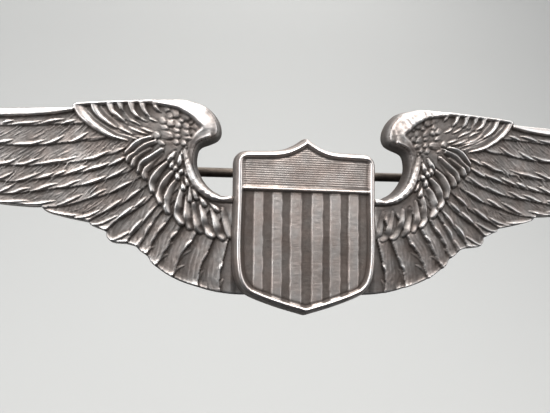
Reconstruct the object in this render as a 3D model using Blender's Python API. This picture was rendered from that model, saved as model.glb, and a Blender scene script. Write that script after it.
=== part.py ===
"""Pilot wings pin: two struck wings, an applied shield, and a pin with a turning safety catch on the back.

Worn upright: the front faces -Y, the badge's top is +Z, and the span runs along X.
The origin is on the flat back face, behind the middle of the shield.
"""
import math

import bmesh
import bpy
from mathutils import Matrix, Vector

MM = 1.0        # the pieces are modelled in millimetres and brought to metres at the end
METRES = 0.001

# Driving dimensions, in millimetres
HALF_SPAN = 38.1          # a standard three-inch wing
WING_PLATE = 1.2          # struck plate under the feather relief
RELIEF = 0.8              # highest relief over the plate
FLAT_HALF = 7.0           # the middle of the back stays flat this far out
CURVE = 0.0045            # backward curve beyond it: y = CURVE * (|x| - FLAT_HALF)^2
STATIONS = (7.0, 10.0, 13.0, 16.0, 22.0, 25.0, 28.0, 31.0, 34.0, 37.0)
SEAM = 0.02               # each wing stops this far from the centre line
SHIELD_HALF_WIDTH = 6.5
SHIELD_FRONT = -2.9       # the rim's front, from the back plane
SHIELD_FIELD = 0.35       # depth of the recessed field below the rim
PIN_Z = 5.45              # height of the pin wire over the shield's middle
PIN_Y = 2.85              # distance of the pin wire's axis behind the back plane
HINGE_X = -19.0
CATCH_X = 19.0
WIRE_R = 0.5
SOLDER = 0.03             # joint line between soldered pieces


def clear_scene():
    for obj in list(bpy.data.objects):
        bpy.data.objects.remove(obj, do_unlink=True)
    for coll in list(bpy.data.collections):
        bpy.data.collections.remove(coll)


clear_scene()
parts = bpy.data.collections.new("pilot_wings_pin")
tools = bpy.data.collections.new("cutters")
bpy.context.scene.collection.children.link(parts)
bpy.context.scene.collection.children.link(tools)


def material(name, colour, rough, metallic=1.0):
    mat = bpy.data.materials.new(name)
    mat.use_nodes = True
    shader = mat.node_tree.nodes["Principled BSDF"]
    shader.inputs["Base Color"].default_value = (*colour, 1.0)
    shader.inputs["Roughness"].default_value = rough
    shader.inputs["Metallic"].default_value = metallic
    mat.diffuse_color = (*colour, 1.0)
    return mat


def bend_at(x):
    """Backward offset of the wing at x, straight between the stations, so the pads sit on flat facets."""
    x = abs(x)
    marks = (0.0,) + STATIONS + (HALF_SPAN + 1.0,)
    value = lambda u: CURVE * max(0.0, u - FLAT_HALF) ** 2
    for low, high in zip(marks, marks[1:]):
        if x <= high:
            share = (x - low) / (high - low)
            return value(low) + share * (value(high) - value(low))
    return value(x)


def facet_slope():
    return (CURVE * (22 - FLAT_HALF) ** 2 - CURVE * (16 - FLAT_HALF) ** 2) / 6.0


def mesh_object(name, bm, collection=parts, mat=None):
    bmesh.ops.recalc_face_normals(bm, faces=bm.faces)
    mesh = bpy.data.meshes.new(name)
    bm.to_mesh(mesh)
    bm.free()
    obj = bpy.data.objects.new(name, mesh)
    collection.objects.link(obj)
    if mat:
        mesh.materials.append(mat)
    if collection is tools:
        obj.hide_render = True
        obj.display_type = "WIRE"
    return obj


def evaluated_mesh(obj):
    bpy.context.view_layer.update()
    graph = bpy.context.evaluated_depsgraph_get()
    return bpy.data.meshes.new_from_object(obj.evaluated_get(graph))


def settle(obj):
    """Applies every modifier of the object."""
    mesh = evaluated_mesh(obj)
    obj.modifiers.clear()
    obj.data = mesh
    return obj


def drop(obj):
    bpy.data.objects.remove(obj, do_unlink=True)


def boolean(obj, other, how):
    mod = obj.modifiers.new(how.lower(), "BOOLEAN")
    mod.operation = how
    mod.solver = "EXACT"
    mod.object = other
    settle(obj)
    drop(other)


def plate(name, outline, y_front, y_back, collection=tools):
    """A flat plate: an outline in X and Z, from y_front to y_back (mm)."""
    curve = bpy.data.curves.new(name, "CURVE")
    curve.dimensions = "2D"
    curve.fill_mode = "BOTH"
    curve.extrude = (y_back - y_front) / 2 * MM
    spline = curve.splines.new("POLY")
    spline.points.add(len(outline) - 1)
    for point, (x, z) in zip(spline.points, outline):
        point.co = (x * MM, z * MM, 0.0, 1.0)
    spline.use_cyclic_u = True
    holder = bpy.data.objects.new(name, curve)
    tools.objects.link(holder)
    mesh = evaluated_mesh(holder)
    drop(holder)
    bm = bmesh.new()
    bm.from_mesh(mesh)
    bmesh.ops.remove_doubles(bm, verts=bm.verts, dist=1e-4)
    # the outline lies in X and Y: stand it up so that its Y becomes Z
    bmesh.ops.transform(bm, verts=bm.verts, matrix=Matrix.Rotation(math.radians(90), 4, "X"))
    bmesh.ops.translate(bm, verts=bm.verts, vec=(0, (y_front + y_back) / 2 * MM, 0))
    bmesh.ops.dissolve_limit(bm, angle_limit=0.001, verts=bm.verts, edges=bm.edges)
    return mesh_object(name, bm, collection)


def cut_at(obj, axis, places):
    """Splits the faces along planes, without changing the shape."""
    bm = bmesh.new()
    bm.from_mesh(obj.data)
    normal = Vector((1, 0, 0)) if axis == "X" else Vector((0, 0, 1))
    for place in places:
        bmesh.ops.bisect_plane(bm, geom=bm.verts[:] + bm.edges[:] + bm.faces[:], dist=1e-5,
                               plane_co=normal * place * MM, plane_no=normal)
    bm.to_mesh(obj.data)
    bm.free()


def bend(obj):
    for vert in obj.data.vertices:
        vert.co.y += bend_at(vert.co.x / MM) * MM


def smooth_line(points, count):
    """Evenly spread points on a Catmull-Rom line through the given ones."""
    ends = [tuple(2 * a - b for a, b in zip(points[0], points[1]))] + list(points)
    ends.append(tuple(2 * a - b for a, b in zip(points[-1], points[-2])))
    fine = []
    for i in range(1, len(ends) - 2):
        p0, p1, p2, p3 = ends[i - 1:i + 3]
        for k in range(12):
            t = k / 12
            fine.append(tuple(0.5 * (2 * b + (c - a) * t + (2 * a - 5 * b + 4 * c - d) * t * t
                                     + (3 * b - a - 3 * c + d) * t ** 3)
                              for a, b, c, d in zip(p0, p1, p2, p3)))
    fine.append(tuple(points[-1]))
    lengths = [0.0]
    for a, b in zip(fine, fine[1:]):
        lengths.append(lengths[-1] + math.dist(a, b))
    result = []
    for k in range(count):
        want = lengths[-1] * k / (count - 1)
        i = max(j for j in range(len(lengths)) if lengths[j] <= want + 1e-9)
        i = min(i, len(fine) - 2)
        share = (want - lengths[i]) / max(1e-9, lengths[i + 1] - lengths[i])
        result.append(tuple(a + share * (b - a) for a, b in zip(fine[i], fine[i + 1])))
    return result


PLATE_FRONT = -WING_PLATE


def half_round(name, line, radii, sides_res=1, sink=0.0):
    """A round bar half sunk in the wing plate, following a line (u, z) on the left wing."""
    curve = bpy.data.curves.new(name, "CURVE")
    curve.dimensions = "3D"
    curve.bevel_depth = 1.0 * MM
    curve.bevel_resolution = sides_res
    curve.use_fill_caps = True
    spline = curve.splines.new("POLY")
    spline.points.add(len(line) - 1)
    for i, (point, (u, z)) in enumerate(zip(spline.points, line)):
        share = i / (len(line) - 1)
        where = share * (len(radii) - 1)
        k = min(int(where), len(radii) - 2)
        radius = radii[k] + (where - k) * (radii[k + 1] - radii[k])
        point.co = (-u * MM, (PLATE_FRONT + sink + bend_at(u)) * MM, z * MM, 1.0)
        point.radius = radius
    holder = bpy.data.objects.new(name, curve)
    tools.objects.link(holder)
    mesh = evaluated_mesh(holder)
    drop(holder)
    bm = bmesh.new()
    bm.from_mesh(mesh)
    bmesh.ops.remove_doubles(bm, verts=bm.verts, dist=1e-4)
    return mesh_object(name, bm, tools)


# ---------------------------------------------------------------- wings
# Outline of a wing: distance from the centre line and height, inner end first.
OUTLINE = [
    (SEAM, 2.8), (7.0, 2.8), (8.0, 3.0), (8.75, 3.4), (9.4, 4.1), (9.85, 4.9), (10.1, 5.7), (10.1, 6.4),
    (9.95, 7.05), (9.6, 7.4), (8.8, 7.72), (8.2, 8.05), (7.9, 8.5), (7.85, 9.1), (8.05, 9.85), (8.6, 10.7),
    (9.5, 11.4), (10.8, 11.75), (12.4, 11.8), (15.5, 11.65), (18.2, 11.5), (20.8, 11.35), (21.5, 11.2), (21.8, 10.8),
    (24.6, 10.75), (28.3, 10.72), (32.0, 10.7), (35.0, 10.55), (36.9, 10.2), (37.8, 9.7), (HALF_SPAN, 9.1),
    (37.9, 8.5), (37.0, 8.0), (37.4, 7.3), (37.1, 6.7), (36.2, 6.3), (35.2, 6.1), (35.7, 5.4), (35.3, 4.8),
    (34.3, 4.5), (33.1, 4.4), (33.4, 3.7), (32.8, 3.2), (31.5, 3.0), (30.2, 2.9), (30.3, 2.3), (29.6, 1.95),
    (28.0, 1.7), (25.6, 1.5), (24.3, 1.5), (23.8, 1.0), (22.4, 0.6), (21.0, 0.3), (19.9, 0.1), (19.7, -0.2),
    (18.7, -0.6), (18.3, -0.8), (18.25, -1.25), (17.9, -1.65), (17.4, -1.8), (16.5, -1.85), (15.6, -2.1),
    (15.2, -2.5), (14.5, -3.0), (14.1, -3.6), (13.2, -4.3), (12.3, -4.85), (11.2, -5.35), (9.9, -5.75),
    (8.9, -6.05), (7.6, -6.3), (6.2, -6.45), (4.4, -6.45), (SEAM, -6.45),
]
# Flight feathers: the raised quill of each, root to tip, and its radius there
QUILLS = [
    ([(21.6, 10.2), (27.0, 10.25), (32.5, 10.2), (37.0, 9.6)], (0.45, 0.5, 0.45, 0.2)),
    ([(20.8, 9.3), (26.0, 9.1), (31.5, 9.05), (37.4, 8.75)], (0.35, 0.45, 0.45, 0.2)),
    ([(17.4, 8.4), (21.0, 7.8), (26.0, 7.5), (31.5, 7.4), (36.7, 7.1)], (0.25, 0.45, 0.5, 0.45, 0.2)),
    ([(17.6, 6.9), (20.4, 6.1), (25.0, 5.7), (30.5, 5.6), (35.0, 5.3)], (0.3, 0.45, 0.5, 0.45, 0.2)),
    ([(16.6, 5.8), (20.6, 4.95), (24.6, 4.35), (29.0, 4.2), (32.8, 3.75)], (0.3, 0.45, 0.5, 0.45, 0.2)),
    ([(16.2, 4.8), (19.6, 3.85), (23.6, 3.1), (27.2, 2.8), (29.6, 2.45)], (0.3, 0.45, 0.45, 0.4, 0.2)),
    ([(15.4, 3.9), (18.0, 3.0), (21.0, 2.2), (23.9, 1.55)], (0.3, 0.45, 0.45, 0.2)),
    ([(14.7, 3.1), (16.8, 2.1), (18.6, 1.15), (19.9, 0.5)], (0.3, 0.45, 0.45, 0.25)),
    ([(14.1, 2.2), (15.6, 1.2), (17.0, 0.2), (18.1, -0.5)], (0.3, 0.45, 0.45, 0.25)),
    ([(13.4, 1.5), (14.6, 0.5), (15.8, -0.5), (17.2, -1.4)], (0.3, 0.45, 0.45, 0.25)),
    ([(12.3, 0.8), (13.4, -0.5), (14.5, -1.5), (15.3, -2.2)], (0.3, 0.45, 0.5, 0.2)),
    ([(11.2, -0.2), (12.2, -1.5), (13.2, -2.6), (14.0, -3.4)], (0.3, 0.5, 0.5, 0.2)),
    ([(10.1, -0.9), (10.9, -2.4), (11.8, -3.7), (12.6, -4.5)], (0.3, 0.5, 0.5, 0.2)),
    ([(9.0, -1.3), (9.5, -2.9), (10.2, -4.4), (10.8, -5.3)], (0.3, 0.5, 0.5, 0.2)),
    ([(7.9, -1.7), (8.1, -3.2), (8.4, -4.7), (8.8, -5.8)], (0.3, 0.5, 0.5, 0.2)),
]
COVERTS = 12
COVERT_ROOTS = [(14.3, 8.2), (13.6, 6.9), (12.9, 5.7), (12.0, 4.2), (11.3, 2.5), (9.9, 1.5), (8.6, 1.3)]
COVERT_TIPS = [(16.5, 6.3), (15.5, 4.8), (14.2, 3.0), (12.7, 1.1), (10.9, -0.3), (8.9, -1.0), (7.6, -1.2)]
RIM = [(20.9, 10.95), (15.5, 11.2), (12.0, 11.15), (10.4, 10.75), (9.3, 9.9), (8.9, 9.1), (9.6, 8.4), (11.0, 7.7)]
CRESCENT = [(11.2, 7.2), (11.0, 5.6), (10.7, 4.5), (10.0, 3.4), (8.9, 2.6), (7.4, 2.2)]
HOOK = [(0.0, 0.0), (-0.6, -0.95), (-1.7, -2.0), (-3.0, -2.8)]


def make_wing():
    wing = plate("left_wing", [(-u, z) for u, z in OUTLINE], PLATE_FRONT, 0.0, parts)
    cut_at(wing, "X", [-s for s in STATIONS])
    cut_at(wing, "Z", [4.0])
    bend(wing)
    features = []
    for i, (line, radii) in enumerate(QUILLS):
        features.append(half_round(f"quill_{i}", smooth_line(line, 6 if len(line) > 4 else 5), radii))
    roots = smooth_line(COVERT_ROOTS, COVERTS)
    tips = smooth_line(COVERT_TIPS, COVERTS)
    for i, ((u0, z0), (u1, z1)) in enumerate(zip(roots, tips)):
        middle = ((u0 + u1) / 2 + 0.12, (z0 + z1) / 2 + 0.08)
        features.append(half_round(f"covert_{i}", [(u0, z0), middle, (u1, z1)], (0.22, 0.36, 0.26), sink=-0.12))
    features.append(half_round("rim", smooth_line(RIM, 13), (0.2, 0.3, 0.35, 0.5, 0.6, 0.6, 0.3), sink=-0.05))
    features.append(half_round("crescent", smooth_line(CRESCENT, 8), (0.3, 0.4, 0.45, 0.4, 0.25), sink=-0.05))
    for k in range(7):
        scale = 1.0 - 0.09 * k
        line = [(20.9 - 1.45 * k + a * scale, 10.85 + 0.05 * min(k, 3) + b * scale) for a, b in HOOK]
        features.append(half_round(f"hook_{k}", line, (0.25, 0.35, 0.32, 0.2), sink=-0.1))
    for feature in features:
        boolean(wing, feature, "UNION")
    bm = bmesh.new()
    bm.from_mesh(wing.data)
    bmesh.ops.remove_doubles(bm, verts=bm.verts, dist=1e-3)
    bmesh.ops.dissolve_degenerate(bm, edges=bm.edges, dist=1e-3)
    bmesh.ops.triangulate(bm, faces=bm.faces)
    bmesh.ops.recalc_face_normals(bm, faces=bm.faces)
    bm.to_mesh(wing.data)
    bm.free()
    return wing


silver = (0.36, 0.335, 0.31)
left = make_wing()
left.data.materials.clear()
left.data.materials.append(material("left_wing_silver", silver, 0.42))
mirrored = bmesh.new()
mirrored.from_mesh(left.data)
bmesh.ops.scale(mirrored, verts=mirrored.verts, vec=(-1, 1, 1))
bmesh.ops.reverse_faces(mirrored, faces=mirrored.faces)
right = mesh_object("right_wing", mirrored)
right.data.materials.clear()
right.data.materials.append(material("right_wing_silver", silver, 0.42))

# ---------------------------------------------------------------- shield
HALF_SHIELD = [
    (0.0, 8.05), (0.8, 7.45), (1.8, 6.95), (2.9, 6.75), (5.6, 6.65), (6.2, 6.4), (6.45, 5.8),
    (6.4, 3.0), (SHIELD_HALF_WIDTH, -1.0), (6.4, -4.0), (6.1, -5.2), (5.5, -6.0), (3.6, -6.8), (0.0, -7.95),
]


def ring_of(half, widen=0.0):
    """The closed outline of a half outline, moved outwards by about widen."""
    right_side = []
    for x, z in half:
        reach = math.hypot(x, z)
        right_side.append((x * (1 + widen / SHIELD_HALF_WIDTH), z * (1 + widen / 7.5)))
    return right_side + [(-x, z) for x, z in reversed(right_side[1:-1])]


def tapered_block(name, front, back, y_front, y_back):
    """A loft between two like outlines, for slanted side walls."""
    bm = bmesh.new()
    near = [bm.verts.new((x * MM, y_front * MM, z * MM)) for x, z in front]
    far = [bm.verts.new((x * MM, y_back * MM, z * MM)) for x, z in back]
    count = len(near)
    bm.faces.new(near)
    bm.faces.new(list(reversed(far)))
    for i in range(count):
        j = (i + 1) % count
        bm.faces.new((near[j], near[i], far[i], far[j]))
    return mesh_object(name, bm, tools)


def bottom_edge(x, inset):
    """Height of the shield's pointed lower edge at x, raised by the rim's inset."""
    x = abs(x)
    marks = [(0.0, -7.95), (3.6, -6.8), (5.5, -6.0), (6.1, -5.2), (6.5, -4.0)]
    for (x0, z0), (x1, z1) in zip(marks, marks[1:]):
        if x <= x1:
            return z0 + (z1 - z0) * (x - x0) / (x1 - x0) + inset
    return -4.0 + inset


def top_edge(x, inset):
    x = abs(x)
    marks = [(0.0, 8.05), (0.8, 7.45), (1.8, 6.95), (2.9, 6.75), (5.6, 6.65), (6.2, 6.4)]
    for (x0, z0), (x1, z1) in zip(marks, marks[1:]):
        if x <= x1:
            return z0 + (z1 - z0) * (x - x0) / (x1 - x0) - inset
    return 6.4 - inset


shield_block = tapered_block("shield", ring_of(HALF_SHIELD), ring_of(HALF_SHIELD, 0.4), SHIELD_FRONT,
                             PLATE_FRONT - SOLDER)
parts.objects.link(shield_block)
tools.objects.unlink(shield_block)
shield_block.hide_render = False
shield_block.display_type = "TEXTURED"
field = SHIELD_FRONT + SHIELD_FIELD
RIM_WIDTH = 0.5
# the chief's sunken field, above the bar
xs = [-5.9, -5.0, -2.9, -1.8, -0.8, 0.0, 0.8, 1.8, 2.9, 5.0, 5.9]
chief = [(x, top_edge(x, 0.55)) for x in xs] + [(5.9, 3.62), (-5.9, 3.62)]
boolean(shield_block, plate("chief_cut", chief, SHIELD_FRONT - 0.5, field), "DIFFERENCE")
# the sunken stripes between the six raised ones
RAISED = [-4.5, -2.7, -0.95, 0.95, 2.7, 4.5]
RAISED_HALF = 0.5
edges = [-5.95] + [e for c in RAISED for e in (c - RAISED_HALF, c + RAISED_HALF)] + [5.95]
for i in range(0, len(edges), 2):
    x0, x1 = edges[i], edges[i + 1]
    low = [(x, bottom_edge(x, 0.6)) for x in ((x0, 0.0, x1) if x0 < 0 < x1 else (x0, x1))]
    if abs(x0) > 5.5 or abs(x1) > 5.5:
        low = [(x, max(z, -4.9) if abs(x) > 5.5 else z) for x, z in low]
    boolean(shield_block, plate(f"stripe_cut_{i}", low + [(x1, 3.1), (x0, 3.1)], SHIELD_FRONT - 0.5, field),
            "DIFFERENCE")
shield_block.data.materials.clear()
shield_block.data.materials.append(material("shield_silver", (0.40, 0.36, 0.33), 0.4))

# ---------------------------------------------------------------- findings on the back
nickel = (0.42, 0.40, 0.36)
steel = (0.40, 0.36, 0.31)
TILT = math.atan(facet_slope())


def facet_frame(x_centre):
    """Local frame on the back facet under a pad: local Y points away from the wing."""
    side = 1.0 if x_centre > 0 else -1.0
    back = bend_at(x_centre)
    return Matrix.Translation((x_centre * MM, back * MM, PIN_Z * MM)) @ Matrix.Rotation(side * TILT, 4, "Z")


def box(name, low, high, matrix=Matrix.Identity(4), collection=parts, bevel=0.0, mat=None):
    bm = bmesh.new()
    bmesh.ops.create_cube(bm, size=1.0)
    size = [(b - a) * MM for a, b in zip(low, high)]
    middle = [(a + b) / 2 * MM for a, b in zip(low, high)]
    bmesh.ops.scale(bm, verts=bm.verts, vec=size)
    bmesh.ops.translate(bm, verts=bm.verts, vec=middle)
    if bevel:
        upright = [e for e in bm.edges
                   if abs((e.verts[0].co - e.verts[1].co).normalized().y) > 0.99]
        bmesh.ops.bevel(bm, geom=upright, offset=bevel * MM, segments=3, profile=0.5, affect="EDGES")
    bmesh.ops.transform(bm, verts=bm.verts, matrix=matrix)
    return mesh_object(name, bm, collection, mat)


def cylinder(name, radius, length, centre, axis, collection=tools, sides=24, radius2=None, mat=None):
    bm = bmesh.new()
    bmesh.ops.create_cone(bm, cap_ends=True, segments=sides, radius1=radius * MM,
                          radius2=(radius if radius2 is None else radius2) * MM, depth=length * MM)
    if axis == "X":
        bmesh.ops.transform(bm, verts=bm.verts, matrix=Matrix.Rotation(math.radians(90), 4, "Y"))
    bmesh.ops.translate(bm, verts=bm.verts, vec=[c * MM for c in centre])
    return mesh_object(name, bm, collection, mat)


def move_origin(obj, where):
    """Puts the object's origin on its joint axis and leaves its shape in place."""
    offset = Vector([c * MM for c in where])
    for vert in obj.data.vertices:
        vert.co -= offset
    obj.location = offset


PAD = 0.4
BASE = 0.4
EAR_IN, EAR_OUT = 0.72, 1.22
KNUCKLE_R = 1.1
KNUCKLE_HALF = 0.65
RIVET_R = 0.42

# hinge pad, flat on the wing's back
box("hinge_pad", (-2.5, SOLDER, -2.8), (2.5, SOLDER + PAD, 2.8), facet_frame(HINGE_X), bevel=0.9,
    mat=material("hinge_pad_silver", nickel, 0.4))

# hinge bracket: a base and two round-ended ears
base_low = SOLDER + PAD + SOLDER
bracket = box("hinge_bracket", (-1.6, base_low, -EAR_OUT), (1.6, base_low + BASE, EAR_OUT), facet_frame(HINGE_X),
              mat=material("hinge_bracket_nickel", nickel, 0.38))
for side in (-1, 1):
    low, high = sorted((side * EAR_IN, side * EAR_OUT))
    # the ear's neck stands on the base, and its round end is centred on the rivet
    neck = box("ear_neck", (-1.1, base_low + BASE * 0.5, low), (1.1, 2.12, high), facet_frame(HINGE_X), tools)
    ring = cylinder("ear_end", 1.1, EAR_OUT - EAR_IN, (HINGE_X, PIN_Y, PIN_Z + (low + high) / 2), "Z", sides=24)
    boolean(neck, ring, "UNION")
    boolean(bracket, neck, "UNION")
boolean(bracket, cylinder("ear_bore", RIVET_R + 0.02, 4.0, (HINGE_X, PIN_Y, PIN_Z), "Z", sides=24), "DIFFERENCE")
# the rivet: a shaft with a head at each end
rivet = cylinder("hinge_rivet", RIVET_R, 2 * EAR_OUT + 0.4, (HINGE_X, PIN_Y, PIN_Z), "Z", parts, 24,
                 mat=material("hinge_rivet_steel", steel, 0.35))
for side in (-1, 1):
    head = cylinder("rivet_head", 0.75, 0.35, (HINGE_X, PIN_Y, PIN_Z + side * (EAR_OUT + SOLDER + 0.175)), "Z",
                    sides=24, radius2=0.75)
    bm = bmesh.new()
    bm.from_mesh(head.data)
    outer = [e for e in bm.edges if all(v.co.z * side > (PIN_Z * side + EAR_OUT + 0.2) * MM for v in e.verts)
             and (e.verts[0].co - e.verts[1].co).length < 0.5 * MM]
    bmesh.ops.bevel(bm, geom=outer, offset=0.16 * MM, segments=2, profile=0.6, affect="EDGES")
    bm.to_mesh(head.data)
    bm.free()
    boolean(rivet, head, "UNION")

# the pin's knuckle turns on the rivet; the wire is pressed into its socket
knuckle = cylinder("pin_knuckle", KNUCKLE_R, 2 * KNUCKLE_HALF, (HINGE_X, PIN_Y, PIN_Z), "Z", parts, 32,
                   mat=material("pin_knuckle_steel", steel, 0.35))
boss = cylinder("knuckle_boss", 0.64, 1.5, (HINGE_X + 1.35, PIN_Y, PIN_Z), "X", sides=20)
boolean(knuckle, boss, "UNION")
boolean(knuckle, cylinder("knuckle_bore", RIVET_R + 0.06, 4.0, (HINGE_X, PIN_Y, PIN_Z), "Z", sides=24), "DIFFERENCE")
boolean(knuckle, cylinder("wire_socket", WIRE_R + 0.02, 2.0, (HINGE_X + 0.85 + 1.0, PIN_Y, PIN_Z), "X", sides=16),
        "DIFFERENCE")
move_origin(knuckle, (HINGE_X, PIN_Y, PIN_Z))

# the pin wire: straight, with a long ground point
profile = [(HINGE_X + 0.9, WIRE_R), (14.5, WIRE_R), (17.5, 0.45), (20.5, 0.34), (22.5, 0.2), (23.6, 0.07)]
curve = bpy.data.curves.new("pin_stem", "CURVE")
curve.dimensions = "3D"
curve.bevel_depth = 1.0 * MM
curve.bevel_resolution = 6
curve.use_fill_caps = True
spline = curve.splines.new("POLY")
spline.points.add(len(profile) - 1)
for point, (x, radius) in zip(spline.points, profile):
    point.co = ((x - HINGE_X) * MM, 0, 0, 1)
    point.radius = radius
stem = bpy.data.objects.new("pin_stem", curve)
stem.location = (HINGE_X * MM, PIN_Y * MM, PIN_Z * MM)
curve.materials.append(material("pin_stem_steel", steel, 0.3))
parts.objects.link(stem)

# catch pad
box("catch_pad", (-2.3, SOLDER, -2.6), (2.3, SOLDER + PAD, 2.6), facet_frame(CATCH_X), bevel=0.9,
    mat=material("catch_pad_silver", nickel, 0.4))

# catch keeper: a ring on a foot, open straight away from the badge
KEEP_HALF = 1.45
KEEP_R = 1.58
KEEP_BORE = 1.07
SLEEVE_R = 1.0
SLEEVE_BORE = 0.62
keeper = cylinder("catch_keeper", KEEP_R, 2 * KEEP_HALF, (CATCH_X, PIN_Y, PIN_Z), "X", parts, 32,
                  mat=material("catch_keeper_nickel", nickel, 0.38))
foot_low = SOLDER + PAD + SOLDER
boolean(keeper, box("foot", (-KEEP_HALF + 0.2, foot_low, -1.15), (KEEP_HALF - 0.2, 1.25, 1.15),
                    facet_frame(CATCH_X), tools), "UNION")
boolean(keeper, cylinder("keeper_bore", KEEP_BORE, 6.0, (CATCH_X, PIN_Y, PIN_Z), "X", sides=32), "DIFFERENCE")
boolean(keeper, box("keeper_mouth", (CATCH_X - 3, PIN_Y, PIN_Z - 0.62), (CATCH_X + 3, PIN_Y + 3, PIN_Z + 0.62),
                    collection=tools), "DIFFERENCE")

# catch sleeve: a slotted tube with a flange at each end and a thumb tab, turning in the keeper
SLEEVE_HALF = KEEP_HALF + 0.05 + 0.5
FLANGE_R = 1.38
sleeve = cylinder("catch_sleeve", SLEEVE_R, 2 * SLEEVE_HALF, (CATCH_X, PIN_Y, PIN_Z), "X", parts, 32,
                  mat=material("catch_sleeve_nickel", nickel, 0.34))
for side in (-1, 1):
    boolean(sleeve, cylinder("flange", FLANGE_R, 0.5, (CATCH_X + side * (SLEEVE_HALF - 0.25), PIN_Y, PIN_Z), "X",
                             sides=32), "UNION")
tab_bm = bmesh.new()
bmesh.ops.create_cube(tab_bm, size=1.0)
bmesh.ops.scale(tab_bm, verts=tab_bm.verts, vec=(0.46 * MM, 1.5 * MM, 0.8 * MM))
bmesh.ops.translate(tab_bm, verts=tab_bm.verts, vec=(0, 1.75 * MM, 0))
tip = [e for e in tab_bm.edges if all(v.co.y > 2.0 * MM for v in e.verts)
       and abs((e.verts[0].co - e.verts[1].co).normalized().x) > 0.9]
bmesh.ops.bevel(tab_bm, geom=tip, offset=0.32 * MM, segments=3, profile=0.5, affect="EDGES")
bmesh.ops.transform(tab_bm, verts=tab_bm.verts, matrix=Matrix.Translation(
    ((CATCH_X + SLEEVE_HALF - 0.25) * MM, PIN_Y * MM, PIN_Z * MM)) @ Matrix.Rotation(math.radians(-62), 4, "X"))
boolean(sleeve, mesh_object("tab", tab_bm, tools), "UNION")
boolean(sleeve, cylinder("sleeve_bore", SLEEVE_BORE, 8.0, (CATCH_X, PIN_Y, PIN_Z), "X", sides=24), "DIFFERENCE")
boolean(sleeve, box("sleeve_slot", (CATCH_X - 4, PIN_Y, PIN_Z - 0.57), (CATCH_X + 4, PIN_Y + 4, PIN_Z + 0.57),
                    collection=tools), "DIFFERENCE")
move_origin(sleeve, (CATCH_X, PIN_Y, PIN_Z))

# millimetres to metres
for obj in parts.objects:
    if obj.type == "CURVE":
        mesh = evaluated_mesh(obj)
        name, where = obj.name, obj.location.copy()
        drop(obj)
        welded = bmesh.new()
        welded.from_mesh(mesh)
        bmesh.ops.remove_doubles(welded, verts=welded.verts, dist=1e-4)
        solid = mesh_object(name, welded)
        solid.location = where
for obj in parts.objects:
    tidy = bmesh.new()
    tidy.from_mesh(obj.data)
    bmesh.ops.remove_doubles(tidy, verts=tidy.verts, dist=1e-3)
    bmesh.ops.dissolve_degenerate(tidy, edges=tidy.edges, dist=1e-3)
    tidy.to_mesh(obj.data)
    tidy.free()
    obj.data.transform(Matrix.Scale(METRES, 4))
    obj.location = obj.location * METRES
    if obj.name.startswith(("hinge_rivet", "pin_", "catch_keeper", "catch_sleeve")):
        obj.data.shade_smooth()
        obj.data.set_sharp_from_angle(angle=math.radians(35))
    print(obj.name, len(obj.data.polygons) if obj.type == "MESH" else "curve")
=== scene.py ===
import math

import bmesh
import bpy
import numpy as np
from mathutils import Matrix, Vector, geometry


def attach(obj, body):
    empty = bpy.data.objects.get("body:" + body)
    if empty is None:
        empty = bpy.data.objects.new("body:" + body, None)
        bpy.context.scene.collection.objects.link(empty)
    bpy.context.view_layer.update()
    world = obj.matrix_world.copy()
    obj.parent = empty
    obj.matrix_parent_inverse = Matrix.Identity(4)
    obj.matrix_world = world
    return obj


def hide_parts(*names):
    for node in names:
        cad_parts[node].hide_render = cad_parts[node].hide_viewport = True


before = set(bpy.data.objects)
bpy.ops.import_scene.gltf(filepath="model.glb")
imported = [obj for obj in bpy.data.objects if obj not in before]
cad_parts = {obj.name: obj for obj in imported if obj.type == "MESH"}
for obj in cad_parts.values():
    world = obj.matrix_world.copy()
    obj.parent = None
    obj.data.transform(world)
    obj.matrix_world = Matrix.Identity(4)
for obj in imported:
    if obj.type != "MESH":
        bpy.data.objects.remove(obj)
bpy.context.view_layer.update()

MM = 0.001

# Sizes of the CAD frame, in millimetres (front is -Y, the flat back is y = 0)
HALF_SPAN = 38.1
PLATE_FRONT = -1.2        # front of the struck plate
FLAT_HALF = 7.0
CURVE = 0.0045
SHIELD_FRONT = -2.9
SHIELD_FIELD = 0.35
PIN = (0.0, 2.85, 5.45)   # axis height of the pin wire behind and above the origin
HINGE_X, CATCH_X = -19.0, 19.0


def bend(x):
    return CURVE * np.maximum(0.0, np.abs(x) - FLAT_HALF) ** 2


# ------------------------------------------------------------------ small numeric tools
def spline(points, step=0.15, closed=False):
    """Evenly spaced points on a Catmull-Rom line."""
    p = np.asarray(points, float)
    if closed:
        q = np.vstack([p[-1], p, p[0], p[1]])
    else:
        q = np.vstack([2 * p[0] - p[1], p, 2 * p[-1] - p[-2]])
    out = []
    t = np.linspace(0, 1, 17)[:-1, None]
    for i in range(1, len(q) - 2):
        a, b, c, d = q[i - 1], q[i], q[i + 1], q[i + 2]
        out.append(0.5 * (2 * b + (c - a) * t + (2 * a - 5 * b + 4 * c - d) * t ** 2 + (3 * b - a - 3 * c + d) * t ** 3))
    out.append(q[-2][None])
    fine = np.vstack(out)
    length = np.concatenate([[0], np.cumsum(np.linalg.norm(np.diff(fine, axis=0), axis=1))])
    count = max(3, int(round(length[-1] / step)) + 1)
    at = np.linspace(0, length[-1], count)
    return np.stack([np.interp(at, length, fine[:, k]) for k in range(fine.shape[1])], 1)


def blur(a, sigma):
    """Gaussian blur of a grid, sigma in cells."""
    r = max(1, int(3 * sigma))
    k = np.exp(-0.5 * (np.arange(-r, r + 1) / sigma) ** 2)
    k /= k.sum()
    for axis in (0, 1):
        pad = [(r, r) if ax == axis else (0, 0) for ax in (0, 1)]
        b = np.pad(a, pad, mode="edge")
        a = np.apply_along_axis(lambda v: np.convolve(v, k, mode="valid"), axis, b)
    return a


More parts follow.
